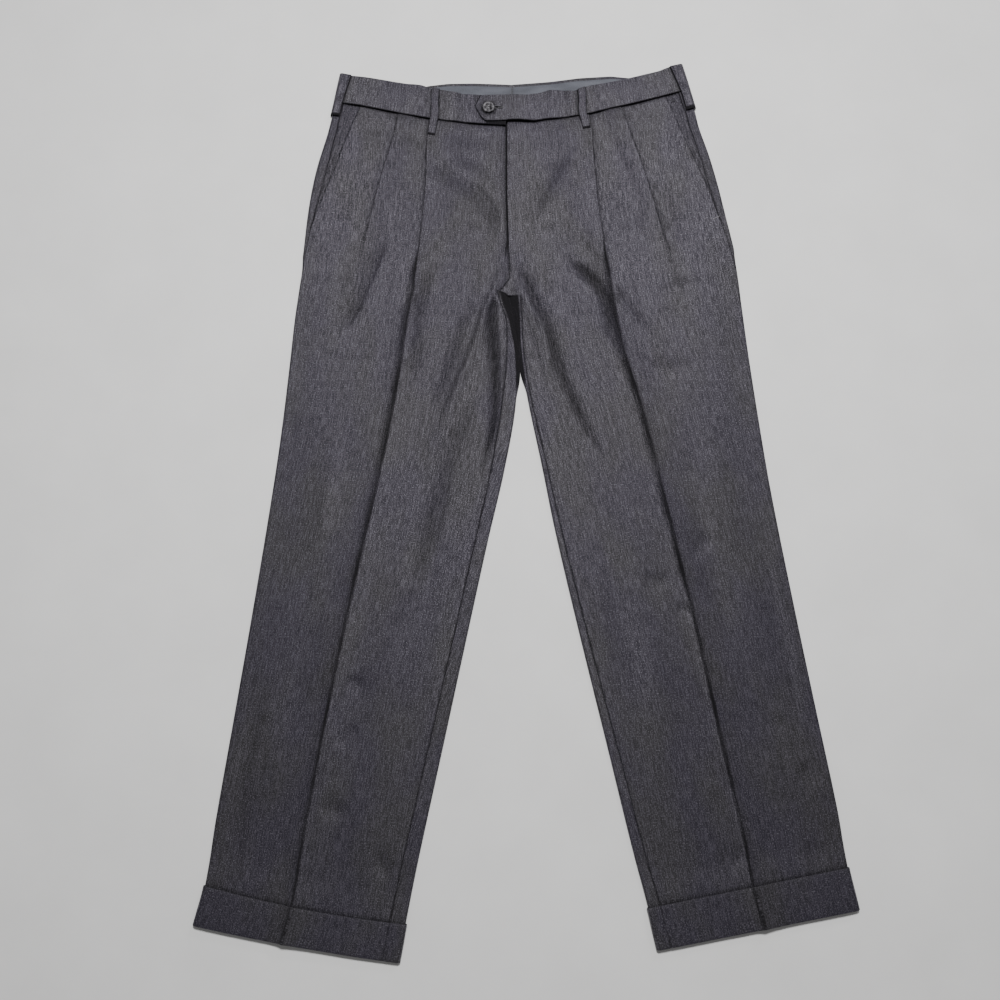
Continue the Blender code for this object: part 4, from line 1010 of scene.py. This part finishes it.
def makeSideLoop(side, material):
    lines = BandRows(side)
    loop = loops[side + "Side"]
    out = band["wall"] / 2 + loops["room"] + loops["wall"] / 2
    grid = []
    for up in np.linspace(1, 0, 20):
        reach = mix(loop["bottom"], loop["top"], up)
        places = [lines.fold(angle, out) for angle in np.radians((-12, 8, 25, 42, 60, 75, 90))]
        row = [stack(*lines.front(across, up), height) for across, height in places]
        for t in (0.3, 0.6, 0.93, 1.0):
            across = mix(band["wall"] / 2 + band["radius"], reach, t)
            x, y = lines.front(across, up)
            row.append(stack(x, y, lines.height(across, up, x) + out))
        grid.append(np.concatenate(row, axis=1)[0] + [0, 0, 0.4 * math.sin(math.pi * up)])
    low = grid[-1]
    step = Rows(side, [loop["end"]]).point(5.0, 0)[0] - stack(*lines.front(5.0, 0), 0)[0]
    for t in (0.14, 0.28, 0.42, 0.56, 0.7, 0.82, 0.87, 1.0):
        grid.append(low + step * t - [0, 0, 0.5 * ease(t)])
    return sewLoop(side + "SideLoop", side + "_side_loop", grid, np.arange(11)[None] * 1.6, 56,
                   {-2: 0.3, -1: 0.95}, material)


# turned-up cuffs
cuff = {"wall": 1.2, "out": 1.5, "flare": 0.3, "rows": 12, "insideShade": 0.6, "edgeShade": 0.35}


def tubeFaces(rings, closed=True):  # quads round and along a tube, with its ends where it is open
    index = np.arange(rings.shape[0] * rings.shape[1]).reshape(rings.shape[:2])
    below = np.roll(index, -1, axis=0)
    faces = np.stack([index, below, np.roll(below, -1, axis=1), np.roll(index, -1, axis=1)], axis=-1)
    if closed:
        return faces.reshape(-1, 4).tolist()
    return faces[:-1].reshape(-1, 4).tolist() + [index[0].tolist(), index[-1][::-1].tolist()]


def turnOf(degrees):  # along and out on a rounded edge
    return math.sin(math.radians(degrees)), math.cos(math.radians(degrees))


def makeCuff(side, material):
    rows = Rows(side, [], np.linspace(pattern["cuffStart"], pattern["cuffEnd"] - 0.6, cuff["rows"]))
    rows.lift = np.full_like(rows.lift, pattern["layer"])
    across, height, shade = frontColumns(rows, turnings=False)
    back, backShade = backColumns(rows)
    ring = np.concatenate([rows.point(across, height), back[:, -2:0:-1]], axis=1)
    shade = np.concatenate([shade, backShade[:, -2:0:-1]], axis=1)
    apart = np.linalg.norm(np.roll(ring[0], -1, axis=0) - ring[0], axis=1) > 0.01
    ring, shade = ring[:, apart], shade[:, apart]
    along = np.gradient(ring, axis=0)
    normal = np.cross(along, np.roll(ring, -1, axis=1) - np.roll(ring, 1, axis=1)) * sideSign[side]
    normal /= np.linalg.norm(normal, axis=2)[:, :, None]
    along /= np.linalg.norm(along, axis=2)[:, :, None]
    count = len(ring)
    share = np.linspace(0, 1, count).reshape(-1, 1, 1)
    middle = ring + normal * (cuff["out"] + cuff["flare"] * (0.5 - np.abs(share - 0.5)))
    profile = [(0, *turnOf(-60)), (0, *turnOf(-25))]  # from the top edge down the outside
    profile += [(row, 0, 1) for row in range(count)]
    profile += [(-1, *turnOf(angle)) for angle in (30, 65, 115, 150)]  # round the hem and up the inside
    profile += [(row, 0, -1) for row in reversed(range(count))]
    profile += [(0, turnOf(-25)[0], -0.9), (0, turnOf(-60)[0], -0.5)]
    points = np.array([middle[row] + cuff["wall"] / 2 * (along[row] * rise + normal[row] * out)
                       for row, rise, out in profile])
    points[:, :, 2] = np.maximum(points[:, :, 2], 0.05)
    lengths = np.concatenate([[-1, -0.5], np.linspace(0, 41, count), [41.5, 42, 42.5, 43],
                              np.linspace(44, 85, count), [85.5, 86]])[:, None]
    # painted shade: the outside takes the leg's shade, the inside and the top edges are darker
    dark = np.zeros(points.shape[:2])
    dark[2:2 + count] = shade * 0.8
    dark[count + 6:] = cuff["insideShade"]
    dark[:2], dark[-2:] = cuff["edgeShade"], 0.9
    grainAndShade = stack(lengthAlong(ring[0])[None], lengths, dark)
    piece = meshPiece(side + "Cuff", points.reshape(-1, 3), tubeFaces(points), grainAndShade, closed=True)
    piece.data.set_sharp_from_angle(angle=math.radians(75))
    return finishPiece(piece, side + "_cuff", material)


# stitches: bar tacks, the buttonhole's edge and the button's thread
Tack = namedtuple("Tack", "name under x y toX toY wide")
tacks = rowsOf(Tack, [
    ("flyTack", "leftFront", -15, 265, -4, 268, 1.0),
    ("rightPocketTopTack", "rightFront", -202, 449, -195, 449, 0.9),
    ("rightPocketFootTack", "rightFront", -253, 287, -246, 287, 0.9),
    ("leftPocketTopTack", "leftFront", 183, 466, 189, 468, 0.9),
    ("leftPocketFootTack", "leftFront", 228, 310, 236, 314, 0.9),
])
stitching = {
    "radius": 0.3,
    "step": 0.55,
    "buttonhole": (-35, -22, 455.2, 1.9),  # from x to x, at y, half as high
    "buttonholeStitches": 68,
    "buttonPlace": (-41, 454),
    "holeSpacing": 2.6,
    "threadRadius": 0.42,
    "threadTop": 13.0,
}


def heightNear(name, x, y):  # height of a sewn piece's upper side near a place
    points = laidOut[name]
    off = (points[:, 0] - x) ** 2 + (points[:, 1] - y) ** 2
    near = off < max(9.0, off.min() * 1.5)
    top = near & (points[:, 2] > points[near, 2].max() - 0.8)
    weight = 1 / (off[top] + 0.3)
    return float((points[top, 2] * weight).sum() / weight.sum())


def makeThread(name, line, radius, material, closed=False):
    line = np.array(line, float)
    ahead, behind = np.roll(line, -1, axis=0), np.roll(line, 1, axis=0)
    if not closed:
        ahead[-1], behind[0] = line[-1], line[0]
    along = ahead - behind
    along /= np.linalg.norm(along, axis=1)[:, None] + 1e-9
    side = np.cross(along, [0.05, 0.03, 1.0])
    side /= np.linalg.norm(side, axis=1)[:, None]
    rise = np.cross(side, along)
    angles = np.linspace(0, 2 * math.pi, 8, endpoint=False)[:, None]
    rings = line[:, None] + radius * (side[:, None] * np.cos(angles) + rise[:, None] * np.sin(angles))
    piece = meshPiece(name, rings.reshape(-1, 3), tubeFaces(rings, closed), closed=True)
    return finishPiece(piece, None, material)


def makeTack(tack, material):  # a close zigzag of thread
    start, end = np.array([tack.x, tack.y], float), np.array([tack.toX, tack.toY], float)
    step = end - start
    length = float(np.hypot(*step))
    normal = np.array([-step[1], step[0]]) / length
    count = int(length / stitching["step"])
    line = []
    for k in range(count + 1):
        x, y = start + step * k / count + normal * tack.wide * (0.5 if k % 2 else -0.5)
        line.append((x, y, heightNear(tack.under, x, y) + stitching["radius"] * 0.9))
    return makeThread(tack.name, line, stitching["radius"], material)


def makeButtonhole(material):
    startX, endX, y, half = stitching["buttonhole"]
    count = stitching["buttonholeStitches"]
    line = []
    for k in range(count):  # over and over the cut edge, all the way round
        turn = 2 * math.pi * k / count
        reach = half + (0.45 if k % 2 else -0.1)
        x = (startX + endX) / 2 + (endX - startX) / 2 * (0.35 * math.cos(turn) ** 3 + 0.65 * math.cos(turn))
        across = reach * math.sin(turn) * (1.0 if math.cos(turn) < -0.2 else 0.55)
        line.append((x, y + across, heightNear("leftWaistband", x, y + across) + 0.1))
    return makeThread("buttonholeStitches", line, stitching["radius"], material, closed=True)


def makeButtonThread(material):  # out of one hole and over into the next, twice
    x, y = stitching["buttonPlace"]
    half, top = stitching["holeSpacing"] / 2, stitching["threadTop"]
    bridge = ((-1, 2.4), (-1, 0.9), (-0.8, 0.25), (-0.3, 0), (0.3, 0), (0.8, 0.25), (1, 0.9), (1, 2.4))
    for number, off in ((1, -half), (2, half)):
        line = [(x + half * along, y + off, top - drop) for along, drop in bridge]
        makeThread("buttonThread%d" % number, line, stitching["threadRadius"], material)


# cloth and other finishes
wool = {
    "dark": (0.0028, 0.0026, 0.0036),
    "light": (0.054, 0.050, 0.062),
    "fleck": (0.25, 0.24, 0.27),
    "violet": (0.022, 0.016, 0.038),
    "olive": (0.030, 0.029, 0.025),
    "seam": (0.0012, 0.0011, 0.0014),  # painted shade: the colour cloth turns where it lies in a seam, a fold's hollow, beside a crease or loop, or under a turned edge
    "roughness": 0.40,
    "specular": 0.40,
    "specularTint": (0.95, 0.91, 1.0, 1),
    "sheen": 0.03,
    "sheenRoughness": 0.45,
    "sheenTint": (0.78, 0.76, 0.85, 1),
    "pale": (0.45, 0.565),  # where the streaks turn from dark to light
    "contrast": 1.5,
    "cast": 0.20,  # share of the violet and olive
    "fleckRange": (0.58, 0.74, (0, 0.55)),
    "weave": (9.0, 7.0),
    "bump": 0.55,
    "bumpDepth": 0.00022,  # metres
}


class Nodes:  # a short way to lay out a material
    def __init__(self, name):
        self.material = bpy.data.materials.new(name)
        self.material.use_nodes = True
        self.tree = self.material.node_tree
        self.shader = self.tree.nodes["Principled BSDF"]

    def add(self, kind, inputs=None, **settings):
        node = self.tree.nodes.new(kind)
        for key, value in settings.items():
            setattr(node, key, value)
        for key, value in (inputs or {}).items():
            if isinstance(value, bpy.types.NodeSocket):
                self.tree.links.new(value, node.inputs[key])
            else:
                node.inputs[key].default_value = value
        return node

    def reckon(self, operation, a, b=0.0):
        return self.add("ShaderNodeMath", {0: a, 1: b}, operation=operation).outputs[0]

    def weighted(self, *pairs):  # each value times its share, all added up
        total = None
        for value, share in pairs:
            part = self.reckon("MULTIPLY", value, share)
            total = part if total is None else self.reckon("ADD", total, part)
        return total

    def noise(self, vector, scale, detail=2.0, roughness=0.5):
        values = {"Vector": vector, "Scale": scale, "Detail": detail, "Roughness": roughness}
        return self.add("ShaderNodeTexNoise", values).outputs["Fac"]

    def streaks(self, grainAndShade, across, along, detail=2.0, roughness=0.5):  # noise drawn out along the cloth
        u, v = self.reckon("MULTIPLY", grainAndShade[0], across), self.reckon("MULTIPLY", grainAndShade[1], along)
        place = self.add("ShaderNodeCombineXYZ", {"X": u, "Y": v}).outputs[0]
        return self.noise(place, 1.0, detail, roughness)

    def grainAndShade(self):  # across, along and the painted shade in seams, folds and under edges, as the cloth carries them
        vector = self.add("ShaderNodeAttribute", attribute_name="grainAndShade").outputs["Vector"]
        return self.add("ShaderNodeSeparateXYZ", {0: vector}).outputs

    def place(self):
        return self.add("ShaderNodeTexCoord").outputs["Object"]

    def spread(self, value, low, high, to=(0, 1)):  # a range stretched over another
        values = {"Value": value, "From Min": low, "From Max": high, "To Min": to[0], "To Max": to[1]}
        return self.add("ShaderNodeMapRange", values, clamp=True).outputs["Result"]

    def blend(self, share, first, second):
        inputs = {0: share}
        for key, value in ((6, first), (7, second)):
            inputs[key] = (*value, 1) if isinstance(value, tuple) else value
        return self.add("ShaderNodeMix", inputs, data_type="RGBA").outputs[2]

    def weave(self, grainAndShade, across, along):
        return self.reckon("SINE", self.weighted((grainAndShade[0], across), (grainAndShade[1], along)))

    def bump(self, height, strength, distance):
        inputs = {"Height": height, "Strength": strength, "Distance": distance}
        self.join("Normal", self.add("ShaderNodeBump", inputs).outputs[0])

    def join(self, key, socket):
        self.tree.links.new(socket, self.shader.inputs[key])

    def fix(self, values):  # even values, on the shader's own sockets
        for key, value in values.items():
            self.shader.inputs[key].default_value = value
        return self.material


Streak = namedtuple("Streak", "across along detail roughness share")
streaks = {  # how many for each millimetre across and along, and their share of the whole
    "fine": Streak(0.95, 0.075, 3.0, 0.75, 0.45),
    "slub": Streak(1.14, 0.62, 2.0, 0.75, 0.35),
    "weft": Streak(0.12, 0.8, 2.0, 0.6, 0.05),
    "broad": Streak(0.8075, 0.011, 2.0, 0.6, 0.15),
    "patch": Streak(0.016, 0.008, 2.0, 0.5, 0.0),
}


def makeWool(name):
    paint = Nodes(name)
    grainAndShade = paint.grainAndShade()
    paintedShade = grainAndShade[2]
    drawn = {key: paint.streaks(grainAndShade, *streak[:4]) for key, streak in streaks.items()}
    lines = paint.weighted(*((drawn[key], streak.share) for key, streak in streaks.items() if streak.share))
    tone = paint.spread(lines, *wool["pale"])
    base = paint.blend(paint.reckon("POWER", tone, wool["contrast"]), wool["dark"], wool["light"])
    cast = paint.blend(paint.spread(drawn["patch"], 0.42, 0.60), wool["violet"], wool["olive"])
    base = paint.blend(wool["cast"], base, cast)
    base = paint.blend(paint.spread(drawn["slub"], *wool["fleckRange"]), base, wool["fleck"])
    # painted shade: where the cloth carries shade it turns dark, and rougher so that it loses its gloss
    paint.join("Base Color", paint.blend(paintedShade, base, wool["seam"]))
    height = paint.weighted((paint.weave(grainAndShade, *wool["weave"]), 0.3), (lines, 6.0))
    paint.bump(height, wool["bump"], wool["bumpDepth"])
    gloss = paint.spread(tone, 0.0, 1.0, (wool["roughness"] + 0.28, wool["roughness"] - 0.10))
    paint.join("Roughness", paint.weighted((gloss, 1.0), (paintedShade, 0.6)))
    return paint.fix({"Specular IOR Level": wool["specular"], "Specular Tint": wool["specularTint"],
                      "Sheen Weight": wool["sheen"], "Sheen Roughness": wool["sheenRoughness"],
                      "Sheen Tint": wool["sheenTint"]})


def makeThreadCloth(name, colour):
    paint = Nodes(name)
    twist = paint.noise(paint.place(), 1800.0)
    pale = tuple(value * 1.6 + 0.004 for value in colour)
    paint.join("Base Color", paint.blend(paint.spread(twist, 0.35, 0.65), colour, pale))
    return paint.fix({"Roughness": 0.5})


satin = {
    "base": (0.034, 0.037, 0.050),
    "pale": (0.074, 0.078, 0.098),
    # painted shade, along the lining's centre-back seam
    "seam": (0.004, 0.004, 0.006),
    "roughness": 0.6,
    "sheen": 0.2,
}


def makeSatin(name):
    paint = Nodes(name)
    grainAndShade = paint.grainAndShade()
    fine, broad = paint.streaks(grainAndShade, 0.9, 1.8, 3.0, 0.6), paint.streaks(grainAndShade, 0.03, 0.09)
    cloth = paint.weighted((fine, 0.6), (broad, 0.4))
    cloth = paint.blend(paint.spread(cloth, 0.40, 0.60), satin["base"], satin["pale"])
    paint.join("Base Color", paint.blend(grainAndShade[2], cloth, satin["seam"]))
    paint.bump(paint.weave(grainAndShade, 11.0, 11.0), 0.3, 0.00012)
    return paint.fix({"Roughness": satin["roughness"], "Sheen Weight": satin["sheen"]})


horn = {
    "dark": (0.008, 0.007, 0.009),
    "pale": (0.16, 0.155, 0.165),
    # painted highlight: the pale ring on the button's rim
    "rim": (0.26, 0.255, 0.27),
    "roughness": 0.12,
    "rimFrom": 0.0051,  # metres from the middle
    "rimTo": 0.0062,
    "rimFade": 0.0003,
    "coat": 0.8,
    "coatRoughness": 0.1,
}


def makeHorn(name, button):
    paint = Nodes(name)
    middle = sum((Vector(corner) for corner in button.bound_box), Vector()) / 8
    place, fade = paint.place(), horn["rimFade"]
    cloud = paint.noise(place, 220.0, 4.0, 0.6)
    flat = paint.add("ShaderNodeVectorMath", {0: place, 1: (1, 1, 0)}, operation="MULTIPLY").outputs[0]
    axis = (middle.x, middle.y, 0)
    out = paint.add("ShaderNodeVectorMath", {0: flat, 1: axis}, operation="DISTANCE").outputs[1]
    inside = paint.spread(out, horn["rimTo"] - fade, horn["rimTo"] + fade, (1, 0))
    # painted highlight on the rim ring, broken up by the cloud
    rim = paint.reckon("MULTIPLY", paint.spread(out, horn["rimFrom"] - fade, horn["rimFrom"] + fade), inside)
    body = paint.blend(paint.spread(cloud, 0.4, 0.7), horn["dark"], horn["pale"])
    broken = paint.reckon("MULTIPLY", rim, paint.spread(cloud, 0.42, 0.56, (0.25, 1)))
    paint.join("Base Color", paint.blend(broken, body, horn["rim"]))
    paint.join("Roughness", paint.spread(cloud, 0.3, 0.8, (horn["roughness"], horn["roughness"] + 0.12)))
    return paint.fix({"Coat Weight": horn["coat"], "Coat Roughness": horn["coatRoughness"]})


# floor, lights and camera
Lamp = namedtuple("Lamp", "name place power size")  # in metres and watts, from here on
room = {
    "lamps": rowsOf(Lamp, [
        ("key", (0.03, 0.64, 1.75), 47.0, 0.35),
        ("fill", (1.3, 1.85, 1.45), 9.0, 0.5),
    ]),
    "aim": (0, 0.1, 0),
    "sky": 0.20,
    "floorDark": (0.70, 0.695, 0.69),
    "floorPale": (0.755, 0.75, 0.745),
}


def makeRoom():
    bpy.ops.mesh.primitive_grid_add(x_subdivisions=8, y_subdivisions=8, size=12)
    floor = bpy.context.object
    floor.name = "floor"
    paint = Nodes("paleFloor")
    soft = paint.noise(paint.place(), 9.0, 4.0, 0.6)
    paint.join("Base Color", paint.blend(paint.spread(soft, 0.3, 0.7), room["floorDark"], room["floorPale"]))
    floor.data.materials.append(paint.fix({"Roughness": 0.8}))
    for lamp in room["lamps"]:
        light = bpy.data.lights.new(lamp.name, "AREA")
        light.shape = "DISK"
        light.energy = lamp.power
        light.size = lamp.size
        stand = bpy.data.objects.new(lamp.name, light)
        stand.location = lamp.place
        stand.rotation_euler = (Vector(room["aim"]) - Vector(lamp.place)).to_track_quat("-Z", "Y").to_euler()
        bpy.context.scene.collection.objects.link(stand)
    world = bpy.data.worlds.new("studio")
    bpy.context.scene.world = world
    world.use_nodes = True
    background = world.node_tree.nodes["Background"]
    background.inputs["Color"].default_value = (1, 1, 1, 1)
    background.inputs["Strength"].default_value = room["sky"]


view = {"place": (-0.0278, -0.2591, 1.113), "tilt": 11.6, "halfWidth": 500 / 1003}  # half width at 1 metre


def makeCamera():
    data = bpy.data.cameras.new("camera")
    data.sensor_fit = "HORIZONTAL"
    data.angle = 2 * math.atan(view["halfWidth"])
    data.clip_start = 0.01
    camera = bpy.data.objects.new("camera", data)
    camera.location = view["place"]
    camera.rotation_euler = (math.radians(view["tilt"]), 0, 0)
    bpy.context.scene.collection.objects.link(camera)
    bpy.context.scene.camera = camera


makeCamera()
makeRoom()
woolCloth = makeWool("suiting_wool")
satinCloth = makeSatin("lining_satin")
print("room and cloth ready")
for side in sideSign:
    for make in (makeFront, makeBack, makePocketFacing, makeWaistband):
        make(side, woolCloth)
    makeWaistLining(side, satinCloth)
    for make in (makeFrontLoop, makeSideLoop, makeCuff):
        make(side, woolCloth)
makeFlyShield(woolCloth)
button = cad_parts["waist_button"]
button.data.materials.clear()
button.data.materials.append(makeHorn("button_horn", button))
darkThread = makeThreadCloth("dark_thread", (0.012, 0.011, 0.014))
paleThread = makeThreadCloth("pale_thread", (0.16, 0.155, 0.165))
for tack in tacks:
    makeTack(tack, paleThread if tack.name == "leftPocketFootTack" else darkThread)
makeButtonhole(makeThreadCloth("buttonhole_thread", (0.05, 0.048, 0.055)))
makeButtonThread(paleThread)
print("all pieces sewn")

Cut = namedtuple("Cut", "name width length area restsOn")
cuts = rowsOf(Cut, [  # the flat cut of what shows of each piece, in metres
    ("rightFront", 0.32, 0.96, 0.215, "rightBack"),
    ("leftFront", 0.32, 0.96, 0.215, "leftBack"),
    ("rightBack", 0.30, 0.99, 0.235, "floor"),
    ("leftBack", 0.30, 0.99, 0.235, "floor"),
    ("rightPocketFacing", 0.037, 0.169, 0.0043, "rightBack"),
    ("leftPocketFacing", 0.037, 0.169, 0.0043, "leftBack"),
    ("flyShield", 0.038, 0.182, None, "leftBack"),
    ("rightWaistband", 0.43, 0.039, None, "floor"),
    ("leftWaistband", 0.47, 0.039, None, "floor"),
    ("rightWaistLining", 0.205, 0.032, None, "rightWaistband"),
    ("leftWaistLining", 0.205, 0.032, None, "leftWaistband"),
    ("rightFrontLoop", 0.010, 0.060, None, "rightWaistband"),
    ("leftFrontLoop", 0.010, 0.056, None, "leftWaistband"),
    ("rightSideLoop", 0.018, 0.056, None, "rightWaistband"),
    ("leftSideLoop", 0.018, 0.056, None, "leftWaistband"),
    ("rightCuff", 0.45, 0.041, None, "rightFront"),
    ("leftCuff", 0.45, 0.041, None, "leftFront"),
])
